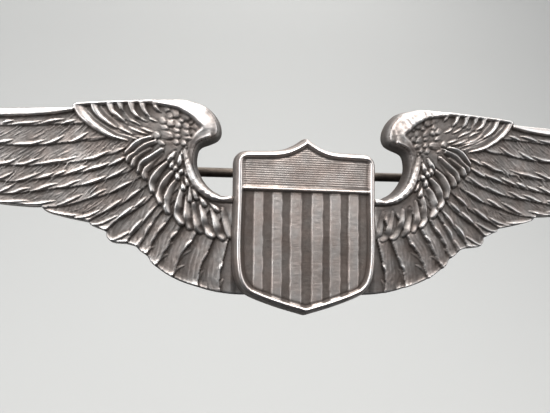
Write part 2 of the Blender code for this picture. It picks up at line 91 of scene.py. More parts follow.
def smooth_noise(shape, cell, seed):
    """Soft value noise between -1 and 1."""
    rng = np.random.default_rng(seed)
    ny, nx = int(shape[0] / cell) + 3, int(shape[1] / cell) + 3
    g = rng.uniform(-1, 1, (ny, nx))
    y = np.arange(shape[0]) / cell
    x = np.arange(shape[1]) / cell
    y0, x0 = y.astype(int), x.astype(int)
    fy, fx = (y - y0)[:, None], (x - x0)[None]
    fy, fx = fy * fy * (3 - 2 * fy), fx * fx * (3 - 2 * fx)
    a = g[y0][:, x0]
    b = g[y0][:, x0 + 1]
    c = g[y0 + 1][:, x0]
    d = g[y0 + 1][:, x0 + 1]
    return (a * (1 - fx) + b * fx) * (1 - fy) + (c * (1 - fx) + d * fx) * fy


class Relief:
    """A height field in the plane of the badge: columns along u (outwards), rows along z (up), in mm."""

    def __init__(self, u0, u1, z0, z1, cell):
        self.cell = cell
        self.u = np.arange(u0, u1 + cell, cell)
        self.z = np.arange(z0, z1 + cell, cell)
        self.U, self.Z = np.meshgrid(self.u, self.z)
        self.H = np.zeros_like(self.U)

    def window(self, points, reach):
        lo, hi = points.min(0) - reach, points.max(0) + reach
        i0, i1 = np.searchsorted(self.u, (lo[0], hi[0]))
        j0, j1 = np.searchsorted(self.z, (lo[1], hi[1]))
        return slice(max(j0 - 1, 0), j1 + 1), slice(max(i0 - 1, 0), i1 + 1)

    def near(self, points, win):
        """Distance to the line, position along it from 0 to 1, arc length, and signed distance (left is positive)."""
        U, Z = self.U[win], self.Z[win]
        best = np.full(U.shape, 1e9)
        along = np.zeros(U.shape)
        sign = np.ones(U.shape)
        seg = np.diff(points, axis=0)
        length = np.linalg.norm(seg, axis=1)
        start = np.concatenate([[0], np.cumsum(length)])
        for k in range(len(seg)):
            if length[k] < 1e-9:
                continue
            dx, dz = seg[k] / length[k]
            px, pz = U - points[k][0], Z - points[k][1]
            t = np.clip(px * dx + pz * dz, 0, length[k])
            ex, ez = px - t * dx, pz - t * dz
            d = np.hypot(ex, ez)
            closer = d < best
            best[closer] = d[closer]
            along[closer] = (start[k] + t)[closer]
            side = dx * pz - dz * px
            sign[closer] = np.sign(side)[closer]
        total = start[-1]
        return best, along / total, along, sign * best

    def tube(self, points, left, right, height, base=None, moat=0.0, moat_width=0.14, over=True, round_left=True,
             round_right=True, streak=0.0, seed=0):
        """A raised strand whose crest runs along the points. left and right are its widths on either side of the crest,
        height its height above what it lies on, each a list of values from one end to the other."""
        line = spline(points, 0.10)
        reach = max(max(left), max(right)) + moat_width + 0.1
        win = self.window(line, reach)
        d, t, s, signed = self.near(line, win)
        wl = np.interp(t, np.linspace(0, 1, len(left)), left)
        wr = np.interp(t, np.linspace(0, 1, len(right)), right)
        h = np.interp(t, np.linspace(0, 1, len(height)), height)
        w = np.where(signed > 0, wl, wr)
        q = d / np.maximum(w, 1e-3)
        H = self.H[win]
        if base is None:
            middle = np.array([self.at(*p) for p in line[::2]])
            for _ in range(3):
                middle = blur_line(middle)
            base_here = np.interp(t, np.linspace(0, 1, len(middle)), middle)
        else:
            base_here = base
        if moat:
            ring = np.clip(1 - (d - w) / moat_width, 0, 1) * (d >= w)
            H -= moat * ring
        round_side = np.where(signed > 0, round_left, round_right)
        full = np.sqrt(np.clip(1 - q ** 2, 0, 1))
        ramp_side = np.clip(1 - q, 0, 1) * 0.65 + 0.35 * full
        p = np.where(round_side, full, ramp_side)
        top = base_here + h * p
        if streak:
            top = top + streak * np.sin(signed * 34 + 1.7 * np.sin(s * 2.1 + seed)) * np.clip(p * 1.5, 0, 1)
        H[:] = np.where(q < 1, top if over else np.maximum(H, top), H)
        self.H[win] = H

    def dome(self, u, z, r, height, stretch=1.25, angle=0.0, moat=0.1):
        """A scale: longer along its own axis, highest towards its free end."""
        win = self.window(np.array([[u, z]]), r * 1.8 + 0.2)
        px, pz = self.U[win] - u, self.Z[win] - z
        c, s = math.cos(angle), math.sin(angle)
        a, b = (px * c + pz * s) / (r * stretch), (-px * s + pz * c) / r
        q = np.hypot(a, b)
        H = self.H[win]
        base = min(self.at(u, z), float(np.median(H)))
        ring = np.clip(1 - (q - 1) / 0.35, 0, 1) * (q >= 1) * np.clip(0.6 + a, 0, 1)
        H -= moat * ring
        top = base + height * np.clip(1 - q ** 3.2, 0, 1) ** 0.62 * (0.66 + 0.56 * a - 0.20 * b) + 0.014 * np.sin(b * 9.0) * (q < 1)
        H[:] = np.where(q < 1, top, H)
        self.H[win] = H

    def at(self, u, z):
        i = min(max(int(round((u - self.u[0]) / self.cell)), 0), len(self.u) - 1)
        j = min(max(int(round((z - self.z[0]) / self.cell)), 0), len(self.z) - 1)
        return self.H[j, i]

    def sample(self, field, u, z):
        x = np.clip((u - self.u[0]) / self.cell, 0, len(self.u) - 1.001)
        y = np.clip((z - self.z[0]) / self.cell, 0, len(self.z) - 1.001)
        i, j = x.astype(int), y.astype(int)
        fx, fy = x - i, y - j
        return ((field[j, i] * (1 - fx) + field[j, i + 1] * fx) * (1 - fy)
                + (field[j + 1, i] * (1 - fx) + field[j + 1, i + 1] * fx) * fy)

    def inside(self, poly):
        """Mask of the grid points inside a closed polygon."""
        mask = np.zeros(self.U.shape, bool)
        a, b = poly, np.roll(poly, -1, axis=0)
        for j, z in enumerate(self.z):
            z = z + 1e-7
            hit = (a[:, 1] > z) != (b[:, 1] > z)
            if not hit.any():
                continue
            x = a[hit, 0] + (z - a[hit, 1]) / (b[hit, 1] - a[hit, 1]) * (b[hit, 0] - a[hit, 0])
            mask[j] = np.searchsorted(np.sort(x), self.u) % 2 == 1
        return mask


def blur_line(v):
    if len(v) < 3:
        return v
    p = np.concatenate([[v[0]], v, [v[-1]]])
    return (p[:-2] + 2 * p[1:-1] + p[2:]) / 4


def normals_of(poly):
    """Outward normals of a closed polyline that runs counter-clockwise."""
    ahead, behind = np.roll(poly, -1, axis=0), np.roll(poly, 1, axis=0)
    t = ahead - behind
    n = np.stack([t[:, 1], -t[:, 0]], 1)
    return n / np.maximum(np.linalg.norm(n, axis=1)[:, None], 1e-9)


def area_of(poly):
    a, b = poly, np.roll(poly, -1, axis=0)
    return 0.5 * np.sum(a[:, 0] * b[:, 1] - b[:, 0] * a[:, 1])


def solid_from(name, relief, outer, inset, front_y, back_y, mirror, bent, wall_wear=0.16, back_wear=0.44, back_step=0.7):
    """A closed solid: the relief as its front, slanted side walls coloured with painted shade, and a plain back. outer:
    closed CCW polyline.
    """
    inner = outer - normals_of(outer) * inset[:, None]
    mask = relief.inside(inner)
    cells = mask[:-1, :-1] & mask[1:, :-1] & mask[:-1, 1:] & mask[1:, 1:]
    # no cells that hang by a corner or by one edge
    for _ in range(6):
        c = np.pad(cells, 1)
        around = c[:-2, 1:-1].astype(int) + c[2:, 1:-1] + c[1:-1, :-2] + c[1:-1, 2:]
        thin = cells & (around <= 1)
        diag = (c[1:-1, 1:-1] & c[2:, 2:] & ~c[2:, 1:-1] & ~c[1:-1, 2:])
        diag2 = (c[1:-1, 1:-1] & c[2:, :-2] & ~c[2:, 1:-1] & ~c[1:-1, :-2])
        drop = thin | diag | diag2
        if not drop.any():
            break
        cells = cells & ~drop
    # the largest connected group of cells only
    label = np.where(cells, np.arange(cells.size).reshape(cells.shape) + 1, 0)
    while True:
        new = label.copy()
        for ax in (0, 1):
            for sh in (1, -1):
                r = np.roll(label, sh, axis=ax)
                new = np.where(cells, np.maximum(new, r), 0)
        for _ in range(1):
            # sweep along rows and columns to spread a label fast
            for ax in (0, 1):
                for flip in (False, True):
                    m = np.flip(new, ax) if flip else new
                    k = np.flip(cells, ax) if flip else cells
                    m = np.moveaxis(m, ax, 0).copy()
                    k = np.moveaxis(k, ax, 0)
                    for i in range(1, m.shape[0]):
                        m[i] = np.where(k[i] & k[i - 1], np.maximum(m[i], m[i - 1]), m[i])
                    m = np.moveaxis(m, 0, ax)
                    new = np.flip(m, ax) if flip else m
        if (new == label).all():
            break
        label = new
    values, counts = np.unique(label[cells], return_counts=True)
    cells = label == values[np.argmax(counts)]

    ny, nx = mask.shape
    used = np.zeros(mask.shape, bool)
    for dj in (0, 1):
        for di in (0, 1):
            used[dj:dj + cells.shape[0], di:di + cells.shape[1]] |= cells
    # boundary edges, each with the cells on its left
    step_next = {}
    c = np.pad(cells, 1)
    jj, ii = np.nonzero(cells)
    for j, i in zip(jj, ii):
        if not c[j, i + 1]:
            step_next[(j, i)] = (j, i + 1)
        if not c[j + 1, i + 2]:
            step_next[(j, i + 1)] = (j + 1, i + 1)
        if not c[j + 2, i + 1]:
            step_next[(j + 1, i + 1)] = (j + 1, i)
        if not c[j + 1, i]:
            step_next[(j + 1, i)] = (j, i)
    loop = [next(iter(step_next))]
    while True:
        nxt = step_next[loop[-1]]
        if nxt == loop[0]:
            break
        loop.append(nxt)
    loop = np.array(loop)
    if len(loop) != len(step_next):
        raise RuntimeError(f"{name}: the outline broke into pieces ({len(loop)} of {len(step_next)})")
    X, Z = relief.U.copy(), relief.Z.copy()
    # snap the boundary to the outline, and remember the matching point of the outer outline
    start, end = inner, np.roll(inner, -1, axis=0)
    ostart, oend = outer, np.roll(outer, -1, axis=0)
    pts = np.stack([X[loop[:, 0], loop[:, 1]], Z[loop[:, 0], loop[:, 1]]], 1)
    seg = end - start
    size = np.maximum((seg ** 2).sum(1), 1e-12)
    rel = pts[:, None] - start[None]
    t = np.clip((rel * seg[None]).sum(2) / size[None], 0, 1)
    foot = start[None] + t[..., None] * seg[None]
    dist = np.linalg.norm(pts[:, None] - foot, axis=2)
    k = dist.argmin(1)
    row = np.arange(len(k))
    snapped = foot[row, k]
    outer_pts = ostart[k] + t[row, k][:, None] * (oend - ostart)[k]
    X[loop[:, 0], loop[:, 1]], Z[loop[:, 0], loop[:, 1]] = snapped[:, 0], snapped[:, 1]
    edge = np.zeros(mask.shape, bool)
    edge[loop[:, 0], loop[:, 1]] = True
    close = blur(edge.astype(float), 1.2) > 0.02
    move = used & close & ~edge
    move[0], move[-1], move[:, 0], move[:, -1] = False, False, False, False
    for _ in range(8):
        ax = (np.roll(X, 1, 0) + np.roll(X, -1, 0) + np.roll(X, 1, 1) + np.roll(X, -1, 1)) / 4
        az = (np.roll(Z, 1, 0) + np.roll(Z, -1, 0) + np.roll(Z, 1, 1) + np.roll(Z, -1, 1)) / 4
        X, Z = np.where(move, ax, X), np.where(move, az, Z)

    index = -np.ones(mask.shape, int)
    index[used] = np.arange(used.sum())
    fu, fz = X[used], Z[used]
    h = relief.sample(relief.H, fu, fz)
    wear = relief.sample(relief.wear, fu, fz)
    verts = [np.stack([fu, front_y - h, fz], 1)]
    wears = [wear]
    faces = np.stack([index[:-1, :-1][cells], index[:-1, 1:][cells], index[1:, 1:][cells], index[1:, :-1][cells]], 1)
    quads = [faces]
    ring0 = index[loop[:, 0], loop[:, 1]]
    n = len(loop)
    total = len(fu)
    h_edge = relief.sample(relief.H, snapped[:, 0], snapped[:, 1])
    top_y = front_y - h_edge
    rings = [ring0]
    # the side walls are coloured dark: painted shade, a little lighter only just below the front edge
    for share, depth, dim in ((0.22, 0.10, 0.45), (0.60, 0.42, 0.12), (0.93, 0.9, 0.0), (1.0, 0.97, 0.0), (0.985, 1.0, 0.0)):
        p = snapped + (outer_pts - snapped) * share
        y = top_y + (back_y - top_y) * depth
        verts.append(np.stack([p[:, 0], y, p[:, 1]], 1))
        wears.append(np.full(n, wall_wear + dim))
        rings.append(np.arange(total, total + n))
        total += n
        a, b = rings[-2], rings[-1]
        quads.append(np.stack([b, np.roll(b, -1), np.roll(a, -1), a], 1))
    # the back, as a triangulated sheet fine enough to follow the curve
    back_ring = verts[-1]
    lo, hi = back_ring[:, (0, 2)].min(0), back_ring[:, (0, 2)].max(0)
    gu, gz = np.meshgrid(np.arange(lo[0] + back_step / 2, hi[0], back_step), np.arange(lo[1] + back_step / 2, hi[1], back_step))
    inner_pts = np.stack([gu.ravel(), gz.ravel()], 1)
    ring2 = back_ring[:, (0, 2)]
    keep = np.zeros(len(inner_pts), bool)
    a2, b2 = ring2, np.roll(ring2, -1, axis=0)
    for m, p in enumerate(inner_pts):
        hit = (a2[:, 1] > p[1]) != (b2[:, 1] > p[1])
        x = a2[hit, 0] + (p[1] - a2[hit, 1]) / (b2[hit, 1] - a2[hit, 1]) * (b2[hit, 0] - a2[hit, 0])
        keep[m] = (x > p[0]).sum() % 2 == 1 and np.hypot(*(ring2 - p).T).min() > back_step * 0.45
    inner_pts = inner_pts[keep]
    flat = [Vector(p) for p in ring2] + [Vector(p) for p in inner_pts]
    loop_edges = [(m, (m + 1) % n) for m in range(n)]
    out_v, _, out_f, orig_v, _, _ = geometry.delaunay_2d_cdt(flat, loop_edges, [], 1, 1e-7)
    where = {}
    extra = []
    for m, src in enumerate(orig_v):
        if src and src[0] < n:
            where[m] = rings[-1][src[0]]
        else:
            where[m] = total + len(extra)
            extra.append((out_v[m].x, back_y, out_v[m].y))
    tris = []
    for f in out_f:
        ids = [where[m] for m in f]
        p = [out_v[m] for m in f]
        turn = (p[1] - p[0]).cross(p[2] - p[0])
        tris.append(ids if turn < 0 else ids[::-1])
    verts.append(np.array(extra))
    wears.append(np.full(len(extra), back_wear))
    V = np.vstack(verts)
    if bent:
        V[:, 1] += bend(V[:, 0])
    polys = [list(map(int, q)) for block in quads for q in block] + [list(map(int, f)) for f in tris]
    if mirror:
        V[:, 0] *= -1
        polys = [p[::-1] for p in polys]
    # front faces look towards -Y: u to the right and z up gives +(-Y) for this winding
    mesh = bpy.data.meshes.new(name)
    mesh.from_pydata([tuple(v) for v in (V * MM)], [], polys)
    mesh.validate()
    # per-point level of patina, rubbed wear and polish, which also carries painted shade on the side walls and in the
    # shield
    attr = mesh.attributes.new("wear", "FLOAT", "POINT")
    attr.data.foreach_set("value", np.concatenate(wears).astype(np.float32))
    mesh.update()
    obj = bpy.data.objects.new(name, mesh)
    bpy.context.scene.collection.objects.link(obj)
    mesh.shade_smooth()
    return obj


# ------------------------------------------------------------------ the wing
# Distance from the centre line and height, in mm. Same outline as the CAD wing.
WING_OUTLINE = [
    (0.02, 2.8), (7.0, 2.8), (8.0, 3.0), (8.75, 3.4), (9.4, 4.1), (9.85, 4.9), (10.1, 5.7), (10.1, 6.4),
    (9.95, 7.05), (9.6, 7.4), (8.8, 7.72), (8.2, 8.05), (7.9, 8.5), (7.85, 9.1), (8.05, 9.85), (8.6, 10.7),
    (9.5, 11.4), (10.8, 11.75), (12.4, 11.8), (15.5, 11.65), (18.2, 11.5), (20.8, 11.35), (21.5, 11.2), (21.8, 10.8),
    (24.6, 10.75), (28.3, 10.72), (32.0, 10.7), (35.0, 10.55), (36.9, 10.2), (37.8, 9.7), (HALF_SPAN, 9.1),
    (37.9, 8.5), (37.0, 8.0), (37.4, 7.3), (37.1, 6.7), (36.2, 6.3), (35.2, 6.1), (35.7, 5.4), (35.3, 4.8),
    (34.3, 4.5), (33.1, 4.4), (33.4, 3.7), (32.8, 3.2), (31.5, 3.0), (30.2, 2.9), (30.3, 2.3), (29.6, 1.95),
    (28.0, 1.7), (25.6, 1.5), (24.3, 1.5), (23.8, 1.0), (22.4, 0.6), (21.0, 0.3), (19.9, 0.1), (19.7, -0.2),
    (18.7, -0.6), (18.3, -0.8), (18.25, -1.25), (17.9, -1.65), (17.4, -1.8), (16.5, -1.85), (15.6, -2.1),
    (15.2, -2.5), (14.5, -3.0), (14.1, -3.6), (13.2, -4.3), (12.3, -4.85), (11.2, -5.35), (9.9, -5.75),
    (8.9, -6.05), (7.6, -6.3), (6.2, -6.45), (4.4, -6.45), (0.02, -6.45),
]
SHARP = {(0.02, 2.8), (21.8, 10.8), (37.0, 8.0), (35.2, 6.1), (33.1, 4.4), (30.2, 2.9), (24.3, 1.5), (19.9, 0.1),
         (18.3, -0.8), (16.5, -1.85), (0.02, -6.45)}


def rounded_outline(points, sharp, step):
    """A closed line through the points, smooth except at the sharp ones."""
    n = len(points)
    first = next(i for i in range(n) if points[i] in sharp)
    order = [points[(first + k) % n] for k in range(n)] + [points[first]]
    out, run = [], [order[0]]
    for p in order[1:]:
        run.append(p)
        if p in sharp:
            line = spline(run, step) if len(run) > 2 else np.array(
                [np.array(run[0]) + (np.array(run[1]) - np.array(run[0])) * t
                 for t in np.linspace(0, 1, max(3, int(np.hypot(*(np.array(run[1]) - np.array(run[0]))) / step)))])
            out.append(line[:-1])
            run = [p]
    poly = np.vstack(out)
    return poly if area_of(poly) > 0 else poly[::-1]


# Lower edge of each feather, from its root to its tip. Each one overlaps the next.
FEATHERS = {
    1: [(20.4, 9.2), (21.85, 9.15), (23.6, 9.1), (25.35, 9.0), (28.2, 9.0), (31.5, 9.0), (35, 9.15), (38.3, 9.3)],
    2: [(15.4, 8.4), (16.45, 8.25), (18.1, 8.0), (19.7, 7.8), (21.05, 7.55), (22.85, 7.3), (24.4, 7.15), (26.25, 7.1),
        (28.1, 7.2), (31, 7.3), (34, 7.6), (37.2, 8.05)],
    3: [(16.0, 7.2), (17.15, 6.75), (18.05, 6.45), (19.2, 6.05), (20.3, 5.75), (21.15, 5.6), (23, 5.4), (24.5, 5.25),
        (26.65, 5.25), (28, 5.3), (30.5, 5.4), (33, 5.7), (35.4, 6.15)],
    4: [(15.8, 6.4), (16.85, 5.8), (18, 5.35), (19.15, 4.95), (20.5, 4.65), (21.95, 4.4), (23.4, 4.15), (24.75, 3.95),
        (26.55, 3.75), (27.95, 3.8), (30, 3.85), (31.8, 4.1), (33.3, 4.45)],
    5: [(15.4, 5.45), (16.35, 4.8), (17.25, 4.4), (18.15, 4.1), (19.3, 3.7), (20.55, 3.45), (21.9, 3.2), (22.8, 3.15),
        (24.05, 2.95), (25.1, 2.85), (26.5, 2.65), (27.9, 2.6), (29.2, 2.7), (30.4, 2.95)],
    6: [(15.0, 4.5), (16, 3.75), (17.05, 3.15), (18.1, 2.7), (19.25, 2.35), (20.05, 2.15), (21.05, 1.8), (22.4, 1.5), (24.1, 1.35)],
    7: [(14.4, 3.8), (15.25, 3), (16, 2.35), (16.65, 1.9), (17.6, 1.4), (18.6, 0.9), (19.2, 0.6), (20, 0.1)],
    8: [(13.7, 3.1), (14.65, 2), (15.35, 1.5), (16.35, 0.8), (17.15, 0.35), (17.9, -0.35), (18.6, -0.9)],
    9: [(13.0, 2.15), (13.85, 1.4), (14.6, 0.35), (15.4, -0.55), (16, -1.2), (16.5, -2.0)],
    10: [(12.6, 1.7), (13.55, 0.75), (14.15, -0.1), (14.65, -1.15), (15.05, -1.8), (15.4, -2.5)],
    11: [(12.1, 1.2), (12.75, 0.1), (13.4, -0.7), (13.95, -1.55), (14.25, -2.3), (14.65, -3.1)],
    12: [(11.2, 0.3), (11.75, -0.65), (12.3, -1.4), (12.65, -2.15), (13.2, -3.05), (13.75, -4.0)],
    13: [(9.8, -0.3), (10.45, -1.55), (11, -2.25), (11.5, -3), (11.8, -3.9), (12.25, -5.05)],
    14: [(8.25, -0.6), (8.85, -2.3), (9.3, -3.15), (9.6, -3.95), (9.75, -4.85), (9.85, -6.05)],
    15: [(6.9, -0.6), (7.35, -2.45), (7.6, -3.55), (7.8, -4.75), (7.8, -6.55)],
}
# Raised strands along each feather's lower edge, outer end first
STRANDS = {
    1: [[(28.2, 9.25), (27.55, 9.35), (27, 9.5)], [(27.1, 9.15), (26.45, 9.2), (25.35, 9.25), (24.45, 9.45)],
        [(24.45, 9.25), (23.4, 9.45), (22.35, 9.65)], [(22.6, 9.2), (21.95, 9.35), (21.25, 9.6)]],
    2: [[(28.6, 7.4), (27.6, 7.5), (27, 7.75)], [(26.9, 7.3), (25.65, 7.25), (24.95, 7.35), (23.95, 7.7)],
        [(24.15, 7.3), (23.55, 7.4), (22.9, 7.7), (22.3, 8.15)], [(21.85, 7.5), (21.1, 7.7), (20.55, 8.1), (20.1, 8.45)],
        [(20.25, 7.65), (19.25, 7.8), (18.1, 8.1)]],
    3: [[(28.6, 5.45), (27.45, 5.5), (26.55, 5.95)], [(26.7, 5.4), (25.9, 5.4), (25.2, 5.65), (24.45, 6)],
        [(25, 5.4), (24.05, 5.5), (23.1, 5.65), (22.1, 5.8), (21.05, 6.15)],
        [(20.45, 5.9), (19.55, 6), (18.8, 6.35), (18.05, 6.75)], [(18.3, 6.35), (17.6, 6.6), (16.8, 7)]],
    4: [[(28.3, 4.0), (27.55, 4.25), (26.85, 4.7)], [(26.55, 3.9), (25.7, 4.05), (24.95, 4.35), (24.35, 4.65)],
        [(24.65, 4.1), (23.95, 4.25), (23.5, 4.4), (23.15, 4.65)], [(23.15, 4.4), (22.5, 4.6), (22, 4.85)],
        [(21.95, 4.6), (21.3, 4.75), (20.65, 5), (20.1, 5.3)], [(20.4, 4.8), (19.65, 5.05), (18.9, 5.25), (18, 5.65)],
        [(18.2, 5.35), (17.4, 5.7), (16.5, 6.25)]],
    5: [[(28.2, 2.75), (27.4, 3.1), (26.75, 3.5)], [(27.25, 2.75), (26.65, 2.8), (25.95, 3.05), (25.2, 3.2)],
        [(25.1, 2.95), (24.4, 3.1), (23.6, 3.4), (22.75, 3.65)], [(22.8, 3.3), (22, 3.4), (21.3, 3.75), (20.65, 4)],
        [(20.55, 3.55), (19.75, 3.75), (19, 4.05), (18.3, 4.4)], [(18.35, 4.15), (17.35, 4.6), (16.4, 5.3)]],
    6: [[(27.85, 1.95), (26.8, 1.95), (25.3, 2.05)], [(25.55, 1.75), (24.5, 1.75), (23.65, 1.9), (22.85, 2.05)],
        [(22.75, 1.65), (21.95, 1.9), (21.25, 2.25), (20.4, 2.7)], [(19.95, 2.35), (19.4, 2.55), (18.85, 2.9), (18.25, 3.2)],
        [(17.95, 2.85), (17.05, 3.35), (16, 3.95)]],
    7: [[(23.4, 1.1), (22.6, 0.9), (21.45, 0.75), (20.3, 0.8)], [(21.1, 0.5), (20, 0.65), (19.4, 0.9), (18.8, 1.25)],
        [(18.55, 1.05), (17.7, 1.6), (16.8, 2.3)], [(16.5, 2.15), (15.85, 2.7), (15.25, 3.2)]],
    8: [[(19.7, -0.1), (18.75, 0.0), (17.95, 0.35), (17.15, 0.8)], [(17.2, 0.5), (16.45, 1.05), (15.75, 1.7)],
        [(15.75, 1.55), (15.2, 1.95), (14.65, 2.55)]],
    9: [[(17.9, -1.45), (17.15, -1.3), (16.45, -0.95), (15.85, -0.55)], [(16.1, -0.95), (15.5, -0.2), (14.9, 0.5)],
        [(14.9, 0.25), (14.35, 0.95), (13.8, 1.65)]],
    10: [[(15.55, -2.1), (15.2, -1.65), (14.95, -1.2)], [(14.65, -1), (14.35, -0.3), (13.8, 0.45)]],
    11: [[(14.6, -2.8), (14.3, -2.3), (13.8, -1.95)], [(14.05, -1.55), (13.5, -0.95)], [(13.5, -0.65), (12.8, 0.2)]],
    12: [[(13.65, -3.7), (13.35, -3.2), (12.85, -2.85), (12.45, -2.7)], [(12.75, -2.3), (12.55, -1.9), (12.1, -1.6)],
         [(12.35, -1.25), (11.75, -0.6)]],
    13: [[(12.2, -4.7), (11.85, -4.15), (11.4, -3.85), (11.05, -3.7)], [(11.7, -3.3), (11.15, -2.75), (10.45, -2.3)],
         [(11, -2.05), (10.4, -1.4)]],
    14: [[(9.8, -5.6), (9.75, -5.05), (9.55, -4.5), (9.25, -4.1)], [(9.6, -3.75), (9.25, -3.05), (8.9, -2.35)]],
    15: [[(7.75, -6.1), (7.75, -5.5), (7.5, -4.85)], [(7.8, -4.05), (7.5, -3.3)]],
}
# Covert feathers, root to tip
COVERTS = [
    [(14.4, 8.05), (15.55, 7.6), (16.6, 6.6)],
    [(13.75, 7.75), (14.95, 7.3), (15.8, 6.8), (16.3, 6.3), (16.45, 5.85)],
    [(14.45, 7), (15.3, 6.6), (15.9, 6.1), (16, 5.4)],
    [(13.4, 6.95), (14.4, 6.2), (15.2, 5.6), (15.45, 4.85)],
    [(13.5, 6.55), (14.3, 5.95), (14.85, 5.15), (15, 4.75), (14.85, 4.25)],
    [(12.8, 5.8), (13.6, 5.05), (14.15, 4.25), (14.3, 3.7), (14.15, 3.05)],
    [(12.4, 4.9), (13.1, 4.05), (13.45, 3.3), (13.65, 2.65), (13.4, 2)],
    [(12, 4.15), (12.55, 3.45), (12.9, 2.55), (13, 1.9), (12.75, 1.15)],
    [(11.55, 3.3), (11.8, 2.25), (11.95, 1.35), (11.9, 0.75), (11.5, 0.15)],
    [(11.05, 2.55), (11.1, 1.35), (11.05, 0.45), (10.7, -0.3)],
    [(10.45, 1.95), (10.4, 1.05), (10.25, 0.3), (10.1, -0.25), (9.7, -0.65)],
    [(9.75, 1.7), (9.55, 0.75), (9.4, -0.15), (9, -0.8), (8.65, -1.05)],
    [(8.75, 1.45), (8.5, 0.55), (8.3, -0.2), (8.05, -0.9), (7.65, -1.25)],
    [(7.8, 1.4), (7.55, 0.45), (7.3, -0.35), (7, -1)],
]
DROPS = [
    [(12.2, 6.7), (12.7, 6)], [(11.65, 6.55), (11.8, 5.6)], [(11.2, 7.15), (11.45, 6.55)], [(11.35, 5.15), (11.65, 4.8)],
    [(12.05, 4.8), (11.9, 4.25)], [(11.25, 4.4), (10.9, 3.65)], [(11.5, 3.85), (11.35, 3.3)], [(10.75, 3.5), (10.75, 2.25)],
    [(10.55, 3.55), (10.15, 2.45)], [(9.9, 2.65), (9.35, 1.85)], [(8.85, 1.95), (8.15, 1.35)], [(12.35, 5.9), (12.5, 5.3)],
    [(12, 5.5), (12.15, 5.1)], [(11.1, 5.45), (11.05, 4.65)], [(10.7, 4.3), (10.45, 3.55)],
]
SCALES = [   # distance out, height, half length, half width, direction of the free end in degrees
    (13.5, 7.5, 0.40, 0.20, -150), (12.1, 7.66, 0.34, 0.24, -120), (11.4, 7.56, 0.32, 0.24, -110), (11.2, 8.12, 0.50, 0.28, -155),
    (12.92, 8.22, 0.56, 0.37, -160), (13.93, 8.17, 0.36, 0.31, -150), (12.05, 8.2, 0.34, 0.26, -140), (11.25, 8.58, 0.44, 0.33, -140),
    (12.1, 8.75, 0.34, 0.26, -130), (13.2, 8.95, 0.36, 0.24, -150), (12.67, 9.45, 0.45, 0.35, -125), (12.01, 9.29, 0.42, 0.29, -120),
    (11.2, 9.19, 0.42, 0.31, -125), (10.29, 9.19, 0.60, 0.50, -120), (10.6, 8.55, 0.32, 0.26, -125), (11.71, 9.75, 0.36, 0.27, -120),
    (10.85, 9.65, 0.38, 0.28, -120), (13.35, 9.55, 0.34, 0.25, -130), (12.92, 10.72, 0.56, 0.32, -118), (12.26, 10.42, 0.58, 0.38, -120),
    (11.25, 10.18, 0.60, 0.44, -122), (12.75, 10.05, 0.36, 0.28, -122),
]
# Curled feathers of the cap: their outer edges, from the rim down
CURLS = [
    [(21.45, 11.1), (20.9, 10.1), (20.1, 9.3), (19.1, 8.6), (17.9, 8), (16.5, 7.65)],
    [(19.85, 11.1), (19.55, 10.35), (19, 9.75), (18.3, 9.25), (17.55, 8.8), (16.65, 8.5), (15.6, 8.1)],
    [(18.4, 11.2), (18.05, 10.35), (17.5, 9.95), (16.55, 9.25), (15.6, 8.7)],
    [(17.45, 11.2), (17.25, 10.4), (16.7, 9.85), (15.75, 9.3), (14.9, 8.8)],
    [(16.45, 11.3), (16.15, 10.4), (15.6, 9.85), (14.8, 9.35), (14.1, 8.9)],
    [(15.45, 11.4), (15.15, 10.55), (14.55, 9.9), (13.85, 9.4), (13.2, 9.0)],
    [(14.35, 11.5), (14.05, 10.8), (13.6, 10.35), (13.15, 9.9), (12.7, 9.5)],
    [(13.55, 11.5), (13.35, 10.8), (13, 10.4), (12.6, 10.1)],
]
TAILS = [
    [(17.9, 9.85), (17.15, 9.55), (16.55, 9.15)], [(16.8, 9.75), (15.95, 9.4), (15.3, 9)], [(15.9, 10.1), (15.15, 9.6), (14.75, 9.4)],
    [(14.85, 10.05), (14.3, 9.6), (13.8, 9.45)], [(17.6, 8.95), (16.85, 8.6), (16, 8.15)], [(16.5, 8.95), (15.55, 8.5), (14.65, 8.25)],
    [(15.4, 8.9), (14.6, 8.55), (13.95, 8.35)], [(17.1, 8.25), (16.2, 7.9), (15.2, 7.75)], [(16, 8.1), (15.1, 7.95), (14.3, 8)],
    [(19.35, 10.6), (18.8, 9.95), (18.05, 9.4)], [(20.55, 10.65), (20.15, 9.9), (19.3, 9.15)], [(19.95, 9.75), (18.95, 8.95), (17.85, 8.45)],
]
BAR_LOWER = [(21.6, 10.35), (23.2, 10.07), (25.5, 9.88), (28.2, 9.82), (31.5, 9.8), (35, 9.85), (37.6, 9.9)]
WRIST = [(15.8, 11.42), (14.7, 11.3), (13.9, 11.22), (13.0, 11.08), (12.0, 10.88), (11.3, 10.52), (10.65, 10.12), (10.1, 9.6),
         (9.65, 9.2), (9.6, 8.85), (10.1, 8.4), (10.75, 7.7)]
CRESCENT = [(11.35, 6.8), (11.1, 5.7), (10.8, 4.75), (10.35, 3.85), (9.7, 3.2), (8.8, 2.68), (7.9, 2.5), (6.6, 2.42)]
CAP_AREA = [(21.6, 11.3), (21.2, 10.5), (20.7, 9.8), (19.9, 9.1), (18.9, 8.45), (17.7, 7.85), (16.4, 7.5), (15.0, 7.5),
            (14.0, 7.9), (12.6, 6.5), (11.2, 6.6), (10.4, 7.6), (8.2, 8.6), (8.2, 10.3), (10.0, 11.9), (16.0, 11.9)]


